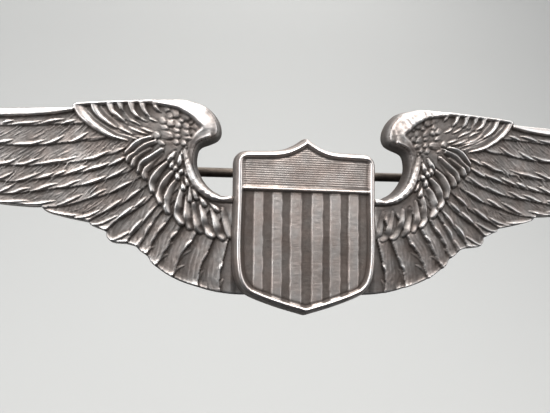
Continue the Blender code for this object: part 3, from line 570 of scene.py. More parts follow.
def make_wing_relief(cell, seed, second):
    """second is the wing on the right, cut by hand a little differently from the first."""
    r = Relief(-0.1, HALF_SPAN + 0.3, -6.8, 12.1, cell)
    U, Z = r.U, r.Z
    swell = 0.16 * np.exp(-((U - 12.5) / 4.5) ** 2 - ((Z - 8) / 5.0) ** 2)
    base = 0.14 + 0.06 * np.exp(-((U - 12) / 7) ** 2) + swell
    r.H[:] = base
    full = (slice(None), slice(None))
    # vanes, innermost first: each feather overlaps the one below it
    wobble = smooth_noise(U.shape, 1.5 / cell, seed)
    fine = smooth_noise(U.shape, 0.45 / cell, seed + 1)
    tiny = smooth_noise(U.shape, 0.2 / cell, seed + 2)
    bright = np.zeros_like(U)
    for k in range(15, 0, -1):
        pts = np.array(FEATHERS[k], float)
        first = pts[0] - (pts[1] - pts[0]) / np.linalg.norm(pts[1] - pts[0]) * 4.0
        last = pts[-1] + (pts[-1] - pts[-2]) / np.linalg.norm(pts[-1] - pts[-2]) * 3.0
        line = np.vstack([first, spline(pts, 0.25), last])
        d, t, s, signed = r.near(line, full)
        deep = 1.0 if k < 8 else 1.5
        lip = 0.13 * deep * np.exp(-np.maximum(signed, 0) / 0.42)
        if k < 9:
            # barbs leave the edge at a slant; no two are quite alike
            phase = s + signed * 1.55
            barb = (0.5 * np.sin(2 * math.pi * phase / (0.61 + 0.03 * (k % 3)) + 3.4 * wobble + k)
                    + 0.45 * np.sin(2 * math.pi * phase / 0.36 + 4.1 * wobble + 2.3 * k) + 0.3 * np.sin(2 * math.pi * phase / 1.13 + 2.0 * fine))
            barb = barb * (0.45 + 0.55 * fine) * np.clip(signed / 0.3, 0, 1)
            bulge = 0.0
        else:
            # the short inner feathers are rounder, with fine lines that run down to the tip
            lean = signed + 0.22 * s + 0.12 * np.sin(s * 1.7 + k) + 0.16 * wobble
            barb = (0.6 * np.sin(2 * math.pi * lean / (0.40 + 0.02 * (k % 3)) + k) + 0.35 * np.sin(2 * math.pi * lean / 0.23 + 2.0 * fine + 2 * k)
                    + 0.3 * np.sin(2 * math.pi * (s + signed * 1.2) / 0.9 + 3 * wobble))
            barb = barb * (0.65 + 0.35 * fine) * np.clip(signed / 0.25, 0, 1) * 0.85
            bulge = 0.08 * np.clip(1 - ((signed - 0.55) / 0.72) ** 2, 0, 1)
        dip = -0.05 * deep * np.clip((signed - 0.4) / 0.9, 0, 1)
        vane = base + lip + dip + bulge + 0.048 * barb + 0.02 * wobble + 0.008 * tiny
        r.H = np.where(signed > 0, vane, r.H - 0.09 * np.exp(np.minimum(signed, 0) / 0.11))
    # the raised strands along the edges
    rng = np.random.default_rng(seed + 5)
    for k in range(15, 0, -1):
        strands = [list(s) for s in STRANDS[k]]
        if k <= 5:
            # the same pattern carried on to the tip
            line = spline(FEATHERS[k], 0.1)
            at = np.concatenate([[0], np.cumsum(np.linalg.norm(np.diff(line, axis=0), axis=1))])
            start = at[np.argmin(np.abs(line[:, 0] - 29.4))]
            while start < at[-1] - 0.8:
                size = rng.uniform(1.9, 2.6)
                a = np.array([np.interp(min(start + size * 0.75, at[-1]), at, line[:, i]) for i in (0, 1)])
                b = np.array([np.interp(start, at, line[:, i]) for i in (0, 1)])
                c = np.array([np.interp(start - size * 0.4, at, line[:, i]) for i in (0, 1)])
                strands.append([tuple(a + (0, 0.10)), tuple(b + (0, 0.16)), tuple(c + (0, 0.42))])
                start += size * 0.88
        for m, pts in enumerate(strands):
            big = rng.uniform(0.9, 1.12) * (1.0 if k <= 9 else 0.85) * (1.16 if second else 1.0)
            slip, rise = (rng.uniform(-0.35, 0.35), rng.uniform(-0.02, 0.06)) if second else (0.0, 0.0)
            ends = np.array(pts[0]) - np.array(pts[-1])
            ends = ends / np.linalg.norm(ends) * slip
            pts = [(u + ends[0], z + ends[1] + rise - 0.05) for u, z in pts]
            low = 1.0 if k <= 9 else 0.62
            r.tube(pts, [0.04, 0.09 * big, 0.11 * big, 0.10 * big, 0.07, 0.03], [0.08, 0.22 * big, 0.30 * big, 0.28 * big, 0.20 * big, 0.06],
                   [h * low for h in (0.07, 0.16 * big, 0.20 * big, 0.19 * big, 0.13 * big, 0.04)], moat=0.05 * low, moat_width=0.12, over=False,
                   round_right=False)
            # fine hairs that rise from the strand
            p = np.array(pts)
            for j in range(6 if k < 9 else 0):
                i = rng.uniform(0.0, 1.0) * (len(p) - 1)
                q0 = p[int(i)] * (1 - i % 1) + p[min(int(i) + 1, len(p) - 1)] * (i % 1)
                ahead = p[-1] - p[0]
                ahead = ahead / np.linalg.norm(ahead)
                side = np.array([ahead[1], -ahead[0]])
                size = rng.uniform(0.8, 2.0)
                q0 = q0 + side * rng.uniform(0.2, 1.0)
                q1 = q0 + ahead * size * 0.55 + side * (0.16 * size)
                q2 = q0 + ahead * size * 1.0 + side * (0.42 * size)
                r.tube([tuple(q0), tuple(q1), tuple(q2)], [0.04, 0.05, 0.03], [0.05, 0.10, 0.03], [0.02, 0.055, 0.01],
                       moat=0.035, moat_width=0.08, over=False)
    # leading bar
    bar = r.inside(np.array([(21.3, 11.7)] + [(39, 11.7), (39, 9.9)] + BAR_LOWER[::-1], float))
    line = spline(BAR_LOWER, 0.2)
    d, t, s, signed = r.near(line, full)
    signed_bar = signed
    across = np.clip(signed / 0.95, 0, 1)
    body = base + 0.36 * np.sqrt(np.clip(1 - (1 - np.clip(signed / 0.14, 0, 1)) ** 2, 0, 1)) * (1 - 0.75 * across ** 1.6) + 0.006 * tiny
    r.H = np.where(bar & (signed > 0), body, r.H)
    r.H = np.where(~bar & (signed < 0) & (U > 21.5), r.H - 0.10 * np.exp(np.minimum(signed, 0) / 0.12), r.H)
    # cap
    cap_poly = spline(CAP_AREA, 0.2, closed=True)
    cap = r.inside(cap_poly)
    cap_soft = np.clip(blur(cap.astype(float), 0.12 / cell) * 2 - 0.5, 0, 1)
    cap_base = base + 0.10 + 0.012 * fine
    r.H = r.H * (1 - cap_soft) + cap_base * cap_soft
    tails = list(TAILS)
    if second:
        # long fine lines that follow the lower border of the cap
        for t in (0.18, 0.36, 0.54, 0.72, 0.9):
            a, b = spline(CURLS[0], 0.3), spline(CURLS[1], 0.3)
            i = np.linspace(0.25, 1, 6)
            a = np.array([a[int(x * (len(a) - 1))] for x in i])
            b = np.array([b[int(x * (len(b) - 1))] for x in i])
            tails.append([tuple(p) for p in a * (1 - t) + (b + np.array([-0.6, 0.1])) * t])
    for pts in tails:
        r.tube(pts, [0.05, 0.11, 0.12, 0.09, 0.03], [0.06, 0.17, 0.19, 0.14, 0.04], [0.05, 0.15, 0.19, 0.15, 0.04], moat=0.07, moat_width=0.12,
               over=False, round_right=False)
    for k in range(len(CURLS) - 1, -1, -1):
        line = spline(CURLS[k], 0.2)
        if k:
            line = line[:max(4, int(len(line) * (0.66 if k < 3 else 0.58)))]
        big = (1.35 if k == 0 else 1.0) * ((0.62 if k == 0 else 0.8) if second else 1.0)
        if second and k:
            line = line[:max(4, int(len(line) * 0.8))]
        # a hollow behind each crest
        r.tube(line + np.array([-0.42, 0.12]), [0.3, 0.34, 0.3, 0.1], [0.3, 0.34, 0.3, 0.1], [-0.02, -0.07, -0.07, -0.02], over=True, base=float(base[0, 0]) + 0.28)
        r.tube(line, [0.27 * big, 0.24 * big, 0.20 * big, 0.18 * big, 0.15, 0.06], [0.52 * big, 0.44 * big, 0.34 * big, 0.28 * big, 0.2, 0.08],
               [0.34, 0.34, 0.32, 0.30, 0.24, 0.08], base=None, moat=0.08, moat_width=0.12, over=False, streak=0.012, seed=k)
    # area under the scales and the neck
    zone = r.inside(spline([(13.9, 11.3), (12, 11.5), (9.8, 10.8), (9.3, 9.3), (9.6, 8.2), (10.0, 6.6), (9.9, 4.9), (8.8, 3.2),
                            (7.0, 2.6), (7.0, 1.0), (9.0, 1.3), (10.6, 2.0), (11.6, 3.4), (12.4, 4.8), (13.1, 6.4), (14.3, 8.0),
                            (14.0, 9.0), (13.2, 10.0)], 0.2, closed=True))
    soft = blur(zone.astype(float), 0.18 / cell)
    r.H = r.H * (1 - soft) + (base + 0.12 + 0.02 * fine) * soft
    # coverts, from the shield outwards, so each overlaps the one before
    for k in range(len(COVERTS) - 1, -1, -1):
        pts = COVERTS[k]
        w = 1.0 if k > 3 else 0.88
        low = 1.0 if k < 9 else 0.9 - 0.09 * (k - 9)
        if second:
            w, low = w * (1.0 if k < 8 else 0.8), low * (1.0 if k < 8 else 0.6 - 0.05 * (k - 8))
            pts = [(u + rng.uniform(-0.08, 0.08), z + rng.uniform(-0.08, 0.08)) for u, z in pts]
        r.tube(pts, [0.14 * w, 0.2 * w, 0.25 * w, 0.28 * w, 0.26 * w], [0.30 * w, 0.44 * w, 0.55 * w, 0.56 * w, 0.40 * w],
               [h * low for h in (0.20, 0.32, 0.39, 0.41, 0.36)], moat=0.11 * min(1.0, low + 0.2), moat_width=0.13, streak=0.014, seed=k, round_right=False)
    for k, pts in enumerate(DROPS):
        if second and k in (7, 8, 9, 10):
            continue
        if second:
            pts = [(u + rng.uniform(-0.12, 0.12), z + rng.uniform(-0.12, 0.12)) for u, z in pts]
        r.tube(pts, [0.08, 0.16, 0.22, 0.22], [0.14, 0.24, 0.32, 0.28], [0.12, 0.22, 0.32, 0.30], moat=0.12, moat_width=0.12)
    for u, z, size, width, angle in SCALES:
        if second:
            u, z, angle = u + rng.uniform(-0.15, 0.15), z + rng.uniform(-0.12, 0.12), angle + rng.uniform(-25, 10)
            size, width = size * rng.uniform(0.85, 1.1), width * rng.uniform(0.75, 0.95)
        r.dome(u, z, width * 1.16, 0.11 + 0.22 * width, stretch=size / width, angle=math.radians(angle), moat=0.08)
    r_before = r.H.copy()
    # rim of the cap, then the broad smooth wrist
    r.tube([(21.5, 11.0), (20, 11.12), (18.2, 11.27), (16.4, 11.36), (14.4, 11.4)], [0.25, 0.25, 0.28, 0.3, 0.32], [0.2, 0.22, 0.24, 0.26, 0.3],
           [0.32, 0.34, 0.36, 0.38, 0.4], base=0.34, over=False)
    r.tube(WRIST, [0.2, 0.22, 0.24, 0.26, 0.28, 0.30, 0.32, 0.34, 0.34, 0.34, 0.32, 0.22], [0.35, 0.55, 0.70, 0.9, 1.15, 1.5, 1.9, 2.0, 1.6, 1.3, 1.0, 0.6],
           [0.32, 0.34, 0.36, 0.40, 0.44, 0.50, 0.54, 0.54, 0.50, 0.44, 0.36, 0.2], base=0.32, moat=0.04, moat_width=0.16, over=False, round_right=False)
    r.tube(CRESCENT, [0.2, 0.26, 0.28, 0.32, 0.36, 0.38, 0.36, 0.30], [0.34, 0.44, 0.52, 0.56, 0.56, 0.54, 0.50, 0.42],
           [0.20, 0.34, 0.44, 0.48, 0.48, 0.44, 0.38, 0.32], base=0.30, moat=0.08, moat_width=0.18, streak=0.03, seed=3)
    rugged = np.clip((r.H - r_before) / 0.1, 0, 1) * (Z < 7.2)
    r.H = r.H + rugged * (0.03 * np.sin(2 * math.pi * (U * 0.9 + Z * 0.6) / 0.66 + 3.8 * wobble) * (0.4 + 0.6 * fine) + 0.018 * tiny)
    r.polish = ((r.H > r_before + 0.02) & (r.H > base + 0.30)).astype(float)
    r.polish = r.polish * np.where(Z < 7.0, 0.28, 1.0) * (0.6 if second else 1.0)
    if second:
        # the wrist here is scored and pitted
        flow = np.sin(2 * math.pi * ((U - 9.0) * 1.1 + (Z - 9.0) * 0.35) / 0.62 + 3.0 * wobble) * (0.4 + 0.6 * fine)
        on_wrist = np.clip((r.H - r_before) / 0.1, 0, 1) * (Z > 7.2) * (U < 15)
        r.H = r.H + on_wrist * (0.035 * flow + 0.012 * tiny)
    r.polish = np.maximum(r.polish, (bar & (signed_bar > 0.05) & ~cap).astype(float) * 0.9)
    # the shield sits on the plain inner end
    r.H = blur(r.H, 0.55)
    flat = np.clip((U - 6.35) / 0.5, 0, 1)
    r.H = r.H * flat
    return r


def finish_relief(r, outline, round_edge=0.14, drop=0.10):
    """Rounds the relief down at the outline and works out where it is worn bright and where it is dark."""
    line = np.vstack([outline, outline[:1]])
    mask = r.inside(outline)
    # distance to the outline, only needed close to it
    reach = int(0.6 / r.cell)
    near_edge = (blur(mask.astype(float), reach / 2) < 0.985) & mask
    jj, ii = np.nonzero(near_edge)
    pts = np.stack([r.U[jj, ii], r.Z[jj, ii]], 1)
    dist = np.full(r.U.shape, 9.0)
    a, seg = outline, np.roll(outline, -1, axis=0) - outline
    size = np.maximum((seg ** 2).sum(1), 1e-12)
    best = np.full(len(pts), 9.0)
    for k in range(0, len(pts), 4000):
        rel = pts[k:k + 4000, None] - a[None]
        t = np.clip((rel * seg[None]).sum(2) / size[None], 0, 1)
        best[k:k + 4000] = np.linalg.norm(rel - t[..., None] * seg[None], axis=2).min(1)
    dist[jj, ii] = best
    dist = np.where(mask, dist, 0)
    r.edge = dist
    r.H = r.H - drop * np.clip(1 - dist / round_edge, 0, 1) ** 2
    rise = np.gradient(blur(dist, 1.0), r.cell, axis=0)
    lower = np.clip(rise * 1.3, 0, 1) * (r.U > 9.0) * mask
    r.H = r.H + 0.17 * np.exp(-np.maximum(dist - 0.1, 0) / 0.20) * lower
    H = r.H
    small = H - blur(H, 0.12 / r.cell)
    mid = H - blur(H, 0.35 / r.cell)
    large = H - blur(H, 0.9 / r.cell)
    wear = 0.43 + 1.35 * small + 1.3 * mid + 0.4 * large
    wear = wear - 0.09 * np.exp(-((r.U - 12.0) / 4.6) ** 2)
    # handled edges are rubbed bright
    wear = wear + 0.22 * np.clip(1 - dist / 0.26, 0, 1) * mask
    pitted = smooth_noise(H.shape, 0.28 / r.cell, 5) * 0.5 + smooth_noise(H.shape, 0.9 / r.cell, 6) * 0.5
    wear = wear + blur(r.polish, 1.5) * (0.34 + 0.20 * pitted)
    r.wear = np.clip(wear, 0, 1)


# ------------------------------------------------------------------ materials
def node(tree, kind, **values):
    n = tree.nodes.new(kind)
    for key, value in values.items():
        if key in n.inputs:
            n.inputs[key].default_value = value
        else:
            setattr(n, key, value)
    return n


def ramp(tree, stops, source=None):
    n = tree.nodes.new("ShaderNodeValToRGB")
    n.color_ramp.interpolation = "B_SPLINE" if len(stops) > 3 else "LINEAR"
    while len(n.color_ramp.elements) < len(stops):
        n.color_ramp.elements.new(0.5)
    for element, (at, colour) in zip(n.color_ramp.elements, stops):
        element.position = at
        element.color = (*colour, 1) if len(colour) == 3 else colour
    if source is not None:
        tree.links.new(source, n.inputs["Fac"])
    return n


def math_node(tree, how, a, b, clamp=False):
    n = tree.nodes.new("ShaderNodeMath")
    n.operation = how
    n.use_clamp = clamp
    for i, v in enumerate((a, b)):
        if isinstance(v, (int, float)):
            n.inputs[i].default_value = v
        elif v is not None:
            tree.links.new(v, n.inputs[i])
    return n.outputs[0]


def oxidised_silver(name, warm=(1.0, 0.965, 0.95), dark=(0.048, 0.037, 0.031), mid=(0.245, 0.226, 0.216), bright=(0.80, 0.785, 0.775),
                    use_wear=True, bias=0.0):
    mat = bpy.data.materials.new(name)
    mat.use_nodes = True
    tree = mat.node_tree
    tree.nodes.clear()
    out = tree.nodes.new("ShaderNodeOutputMaterial")
    shader = tree.nodes.new("ShaderNodeBsdfPrincipled")
    tree.links.new(shader.outputs[0], out.inputs[0])
    coord = tree.nodes.new("ShaderNodeTexCoord")
    # slow patches of tarnish, fine mottling and hairline scratches
    patch = node(tree, "ShaderNodeTexNoise", Scale=260.0, Detail=4.0, Roughness=0.6)
    grain = node(tree, "ShaderNodeTexNoise", Scale=2600.0, Detail=5.0, Roughness=0.65)
    stretch = node(tree, "ShaderNodeMapping")
    stretch.inputs["Rotation"].default_value = (0.0, 0.5, 0.0)
    stretch.inputs["Scale"].default_value = (900.0, 900.0, 7000.0)
    scratch = node(tree, "ShaderNodeTexNoise", Scale=1.0, Detail=3.0, Roughness=0.7)
    for tex in (patch, grain, stretch):
        tree.links.new(coord.outputs["Object"], tex.inputs["Vector"])
    tree.links.new(stretch.outputs[0], scratch.inputs["Vector"])
    # the per-point level mixes patina and wear with painted shade on the side walls and in the shield
    if use_wear:
        attr = node(tree, "ShaderNodeAttribute", attribute_name="wear")
        level = attr.outputs["Fac"]
    else:
        geo = tree.nodes.new("ShaderNodeNewGeometry")
        level = math_node(tree, "ADD", geo.outputs["Pointiness"], -0.02)
    level = math_node(tree, "ADD", level, bias)
    level = math_node(tree, "ADD", level, math_node(tree, "MULTIPLY", math_node(tree, "SUBTRACT", patch.outputs["Fac"], 0.5), 0.55))
    level = math_node(tree, "ADD", level, math_node(tree, "MULTIPLY", math_node(tree, "SUBTRACT", grain.outputs["Fac"], 0.5), 0.30), True)
    low = tuple(d * w for d, w in zip(dark, warm))
    colour = ramp(tree, [(0.0, low), (0.30, tuple(a * 0.45 * w for a, w in zip(mid, warm))), (0.52, tuple(a * w for a, w in zip(mid, warm))),
                         (0.78, tuple((a * 0.45 + b * 0.55) * w for a, b, w in zip(mid, bright, warm))), (1.0, tuple(b * w for b, w in zip(bright, warm)))], level)
    tint = node(tree, "ShaderNodeTexNoise", Scale=700.0, Detail=2.0)
    tree.links.new(coord.outputs["Object"], tint.inputs["Vector"])
    tint_ramp = ramp(tree, [(0.35, (1.0, 0.92, 0.87)), (0.65, (0.94, 0.99, 1.0))], tint.outputs["Fac"])
    mix = node(tree, "ShaderNodeMix", data_type="RGBA", blend_type="MULTIPLY")
    mix.inputs["Factor"].default_value = 0.55
    tree.links.new(colour.outputs["Color"], mix.inputs["A"])
    tree.links.new(tint_ramp.outputs["Color"], mix.inputs["B"])
    tree.links.new(mix.outputs["Result"], shader.inputs["Base Color"])
    rough = ramp(tree, [(0.0, (0.74,) * 3), (0.5, (0.50,) * 3), (1.0, (0.32,) * 3)], level)
    rough_value = math_node(tree, "ADD", rough.outputs["Color"], math_node(tree, "MULTIPLY", math_node(tree, "SUBTRACT", scratch.outputs["Fac"], 0.5), 0.22), True)
    tree.links.new(rough_value, shader.inputs["Roughness"])
    metal = ramp(tree, [(0.0, (0.55,) * 3), (0.4, (0.95,) * 3), (1.0, (1.0,) * 3)], level)
    tree.links.new(metal.outputs["Color"], shader.inputs["Metallic"])
    height = math_node(tree, "ADD", math_node(tree, "MULTIPLY", grain.outputs["Fac"], 0.7), math_node(tree, "MULTIPLY", scratch.outputs["Fac"], 0.5))
    bump = node(tree, "ShaderNodeBump", Strength=0.55, Distance=0.00004)
    tree.links.new(height, bump.inputs["Height"])
    tree.links.new(bump.outputs["Normal"], shader.inputs["Normal"])
    return mat


def worn_metal(name, colour, dark, roughness=0.34, streak_axis="X"):
    """Plain metal of the findings: dull in patches, with drawn or turned marks."""
    mat = bpy.data.materials.new(name)
    mat.use_nodes = True
    tree = mat.node_tree
    shader = tree.nodes["Principled BSDF"]
    shader.inputs["Metallic"].default_value = 1.0
    coord = tree.nodes.new("ShaderNodeTexCoord")
    patch = node(tree, "ShaderNodeTexNoise", Scale=420.0, Detail=5.0, Roughness=0.65)
    tree.links.new(coord.outputs["Object"], patch.inputs["Vector"])
    lines = tree.nodes.new("ShaderNodeMapping")
    scale = {"X": (300.0, 5200.0, 5200.0), "Y": (5200.0, 300.0, 5200.0), "Z": (5200.0, 5200.0, 300.0)}[streak_axis]
    lines.inputs["Scale"].default_value = scale
    tree.links.new(coord.outputs["Object"], lines.inputs["Vector"])
    streak = node(tree, "ShaderNodeTexNoise", Scale=1.0, Detail=3.0)
    tree.links.new(lines.outputs[0], streak.inputs["Vector"])
    level = math_node(tree, "ADD", math_node(tree, "MULTIPLY", patch.outputs["Fac"], 0.8), math_node(tree, "MULTIPLY", streak.outputs["Fac"], 0.3), True)
    base = ramp(tree, [(0.30, dark), (0.52, tuple((a + b) / 2 for a, b in zip(dark, colour))), (0.75, colour)], level)
    tree.links.new(base.outputs["Color"], shader.inputs["Base Color"])
    rough = ramp(tree, [(0.25, (roughness + 0.22,) * 3), (0.8, (roughness - 0.06,) * 3)], level)
    tree.links.new(rough.outputs["Color"], shader.inputs["Roughness"])
    bump = node(tree, "ShaderNodeBump", Strength=0.25, Distance=0.00002)
    tree.links.new(streak.outputs["Fac"], bump.inputs["Height"])
    tree.links.new(bump.outputs["Normal"], shader.inputs["Normal"])
    return mat


# ------------------------------------------------------------------ build the wings
CELL = 0.07
outline = rounded_outline(WING_OUTLINE, SHARP, 0.12)
inset = np.full(len(outline), 0.10)
# the inner side of neck and wrist slants more
near_neck = ((outline[:, 0] < 12.2) & (outline[:, 1] > 2.2)) | ((outline[:, 0] < 24) & (outline[:, 1] > 11.0))
inset = np.where(near_neck & (outline[:, 0] > 7.5), 0.25, inset)
inset = np.where((outline[:, 0] < 11.0) & (outline[:, 1] > 2.2) & (outline[:, 0] > 7.6), 0.46, inset)
for _ in range(14):
    inset = (np.roll(inset, 1) + 2 * inset + np.roll(inset, -1)) / 4
inset = np.where(outline[:, 0] < 0.5, 0.0, inset)
pieces = []
for name, seed, mirror in (("left_wing_relief", 11, True), ("right_wing_relief", 47, False)):
    wing = make_wing_relief(CELL, seed, not mirror)
    finish_relief(wing, outline - normals_of(outline) * inset[:, None])
    pieces.append(solid_from(name, wing, outline, inset, PLATE_FRONT, 0.0, mirror, True))
left, right = pieces
silver = oxidised_silver("wing_oxidised_silver")
for piece, name in ((left, "left_wing"), (right, "right_wing")):
    piece.data.materials.append(silver)
    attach(piece, "badge")
    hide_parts(name)

# ------------------------------------------------------------------ the shield
HALF_SHIELD = [(0.0, 8.0), (0.8, 7.45), (1.8, 6.98), (2.9, 6.76), (4.4, 6.70), (5.6, 6.65), (6.15, 6.42), (6.42, 5.85), (6.42, 4.5),
               (6.42, 2.0), (6.48, -1.0), (6.42, -3.4), (6.15, -4.9), (5.55, -5.85), (4.6, -6.4), (2.4, -7.2), (0.0, -7.9)]
shield_points = HALF_SHIELD + [(-x, z) for x, z in reversed(HALF_SHIELD[1:-1])]
shield_front = rounded_outline(shield_points, {(0.0, 8.0), (0.0, -7.9)}, 0.1)
SLANT = 0.38
shield_outer = shield_front + normals_of(shield_front) * SLANT
shield_inset = np.full(len(shield_outer), SLANT)
STRIPES = [(-4.46, 0.45), (-2.73, 0.47), (-0.98, 0.54), (1.02, 0.54), (2.72, 0.52), (4.46, 0.49)]


def make_shield_relief(cell, seed):
    r = Relief(-7.0, 7.0, -8.6, 8.7, cell)
    U, Z = r.U, r.Z
    full = (slice(None), slice(None))
    d, t, s, signed = r.near(np.vstack([shield_front, shield_front[:1]]), full)
    inside = r.inside(shield_front)
    depth = np.where(inside, d, -d)
    fine = smooth_noise(U.shape, 0.6 / cell, seed)
    tiny = smooth_noise(U.shape, 0.22 / cell, seed + 1)
    blotch = smooth_noise(U.shape, 1.6 / cell, seed + 2)
    # sunken field with upright scratches
    H = 0.012 * np.sin(2 * math.pi * U / 0.19 + 1.2 * fine) * (0.6 + 0.4 * tiny) + 0.012 * tiny
    # chief: a field of fine level lines, a little higher
    level_lines = 0.5 + 0.5 * np.cos(2 * math.pi * (Z - 3.62 + 0.012 * U + 0.006 * fine) / 0.212)
    chief = 0.06 + 0.045 * level_lines ** 0.8 * (0.9 + 0.2 * fine)
    above = np.clip((Z - 3.5) / 0.08, 0, 1)
    H = H * (1 - above) + chief * above
    # raised stripes, rounded at their edges
    under = np.clip((3.14 - Z) / 0.14, 0, 1)
    # shade: painted shadow of the bar, fading the stripes' rubbed lighter tone out towards their tops
    shade = np.clip((3.02 - Z) / 0.22, 0, 1)
    stripe_wear_and_bar_shadow = np.zeros_like(U)
    for c, hw in STRIPES:
        x = np.abs(U - c - 0.035 * fine)
        side = np.clip((hw + 0.09 - x) / 0.21, 0, 1)
        body = 0.15 * side * side * (3 - 2 * side) + 0.005 * tiny * side - 0.02 * np.clip(x / hw, 0, 1) ** 2
        stripe_wear_and_bar_shadow = np.maximum(stripe_wear_and_bar_shadow, side * shade)
        # a darker band beside each stripe edge, also faded out below the bar
        stripe_wear_and_bar_shadow = stripe_wear_and_bar_shadow - 0.30 * np.exp(-((x - hw - 0.13) / 0.07) ** 2) * shade
        end = np.clip((depth - 0.50) / 0.12, 0, 1) if abs(c) > 4 else 1.0
        H = np.maximum(H, body * under * (end if abs(c) > 4 else 1.0))
    # bar under the chief
    bar = 0.31 * np.sqrt(np.clip(1 - ((Z - 3.33 + 0.012 * U) / 0.215) ** 2, 0, 1)) * (np.abs(U) < 5.95)
    H = np.maximum(H, bar)
    # rim
    x = (depth - 0.22) / 0.25
    rim = 0.36 * np.sqrt(np.clip(1 - x ** 2, 0, 1)) + 0.02
    H = np.where((depth > -0.2) & (depth < 0.22), 0.38 - 0.34 * np.clip(-x, 0, 1.4) ** 2.2, np.where(np.abs(x) < 1, np.maximum(H, rim), H))
    # a shadow line just inside the rim
    H = H - 0.05 * np.exp(-((depth - 0.62) / 0.09) ** 2)
    H = blur(H, 0.75)
    r.H = H
    r.edge = np.maximum(depth, 0)
    small = H - blur(H, 0.10 / cell)
    mid = H - blur(H, 0.30 / cell)
    large = H - blur(H, 0.8 / cell)
    wear = 0.20 + 0.4 * small + 0.5 * mid + 0.6 * large + 0.36 * stripe_wear_and_bar_shadow + 0.38 * above * (0.62 + 0.38 * level_lines) + 0.03 * fine + 0.05 * blotch
    wear = wear + 0.55 * np.clip(1.2 - np.abs(depth - 0.20) / 0.26, 0, 1) + 0.30 * np.clip(1.3 - np.abs(Z - 3.33 + 0.012 * U) / 0.2, 0, 1)
    # painted shadow: a darker band just inside the rim, below the bar
    wear = wear - 0.28 * np.exp(-((depth - 0.60) / 0.13) ** 2) * (Z < 3.1)
    r.wear = np.clip(wear, 0, 1)
    return r


shield_relief = make_shield_relief(0.05, 31)
shield = solid_from("shield_relief", shield_relief, shield_outer, shield_inset, SHIELD_FRONT + SHIELD_FIELD, PLATE_FRONT - 0.03, False, False,
                    wall_wear=0.14, back_wear=0.42, back_step=1.6)
shield.data.materials.append(oxidised_silver("shield_oxidised_silver", warm=(1.0, 0.94, 0.915), mid=(0.33, 0.305, 0.29)))
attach(shield, "badge")
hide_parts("shield")

# ------------------------------------------------------------------ findings on the back
nickel = worn_metal("finding_nickel_silver", (0.52, 0.49, 0.44), (0.20, 0.17, 0.14), 0.36, "Z")
steel = worn_metal("pin_wire_steel", (0.13, 0.108, 0.092), (0.018, 0.014, 0.011), 0.42, "X")
catch_metal = worn_metal("catch_nickel_silver", (0.62, 0.59, 0.54), (0.26, 0.23, 0.20), 0.28, "X")
for name, mat, body, slot, width in (
        ("hinge_pad", nickel, "badge", "finding_silver", 0.12), ("hinge_bracket", nickel, "badge", "finding_silver", 0.07),
        ("hinge_rivet", steel, "badge", "pin_steel", 0.08), ("pin_knuckle", steel, "pin", "pin_steel", 0.10),
        ("pin_stem", steel, "pin", "pin_steel", 0.0), ("catch_pad", nickel, "badge", "finding_silver", 0.12),
        ("catch_keeper", nickel, "badge", "finding_silver", 0.07), ("catch_sleeve", catch_metal, "sleeve", "catch_nickel", 0.08)):
    node_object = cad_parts[name]
    mesh = node_object.data.copy()
    mesh.name = name + "_worn"
    piece = bpy.data.objects.new(name + "_worn", mesh)
    piece.matrix_world = node_object.matrix_world.copy()
    bpy.context.scene.collection.objects.link(piece)
    mesh.materials.clear()
    mesh.materials.append(mat)
    bm = bmesh.new()
    bm.from_mesh(mesh)
    bmesh.ops.remove_doubles(bm, verts=bm.verts, dist=2e-6)
    bmesh.ops.dissolve_limit(bm, angle_limit=math.radians(1.0), verts=bm.verts, edges=bm.edges)
    for face in bm.faces:
        face.smooth = True
        face.material_index = 0
    for edge in bm.edges:
        edge.smooth = not (len(edge.link_faces) == 2 and edge.calc_face_angle(0) > math.radians(38))
    bm.to_mesh(mesh)
    bm.free()
    if width:
        soften = piece.modifiers.new("soften", "BEVEL")
        soften.width = width * MM
        soften.segments = 3
        soften.limit_method = "ANGLE"
        soften.angle_limit = math.radians(38)
        soften.harden_normals = False
    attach(piece, body)
    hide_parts(name)

# ------------------------------------------------------------------ stage
def stage_material(name, colour):
    mat = bpy.data.materials.new(name)
    mat.use_nodes = True
    shader = mat.node_tree.nodes["Principled BSDF"]
    shader.inputs["Base Color"].default_value = (*colour, 1)
    shader.inputs["Roughness"].default_value = 0.9
    shader.inputs["Specular IOR Level"].default_value = 0.1
    return mat


FLOOR_Z = -0.075
BACK_Y = 0.30
profile = [(-3.5, FLOOR_Z), (-0.2, FLOOR_Z), (0.10, FLOOR_Z)]
for k in range(13):
    a = math.radians(90 * k / 12)
    profile.append((0.10 + 0.20 * math.sin(a), FLOOR_Z + 0.20 * (1 - math.cos(a))))
profile += [(BACK_Y, 0.5), (BACK_Y, 0.9)]
pale = stage_material("pale_floor", (0.34, 0.34, 0.335))
for name, part in (("pale_floor", profile[:3]), ("pale_backdrop", profile[2:])):
    sweep = bpy.data.meshes.new(name)
    bm = bmesh.new()
    rows = [[bm.verts.new((x, y, z)) for x in (-2.5, 2.5)] for y, z in part]
    for a, b in zip(rows, rows[1:]):
        bm.faces.new((a[0], a[1], b[1], b[0]))
    bm.to_mesh(sweep)
    bm.free()
    sheet = bpy.data.objects.new(name, sweep)
    bpy.context.scene.collection.objects.link(sheet)
    sweep.shade_smooth()
    sweep.materials.append(pale)
    sheet.visible_glossy = name == "pale_backdrop"

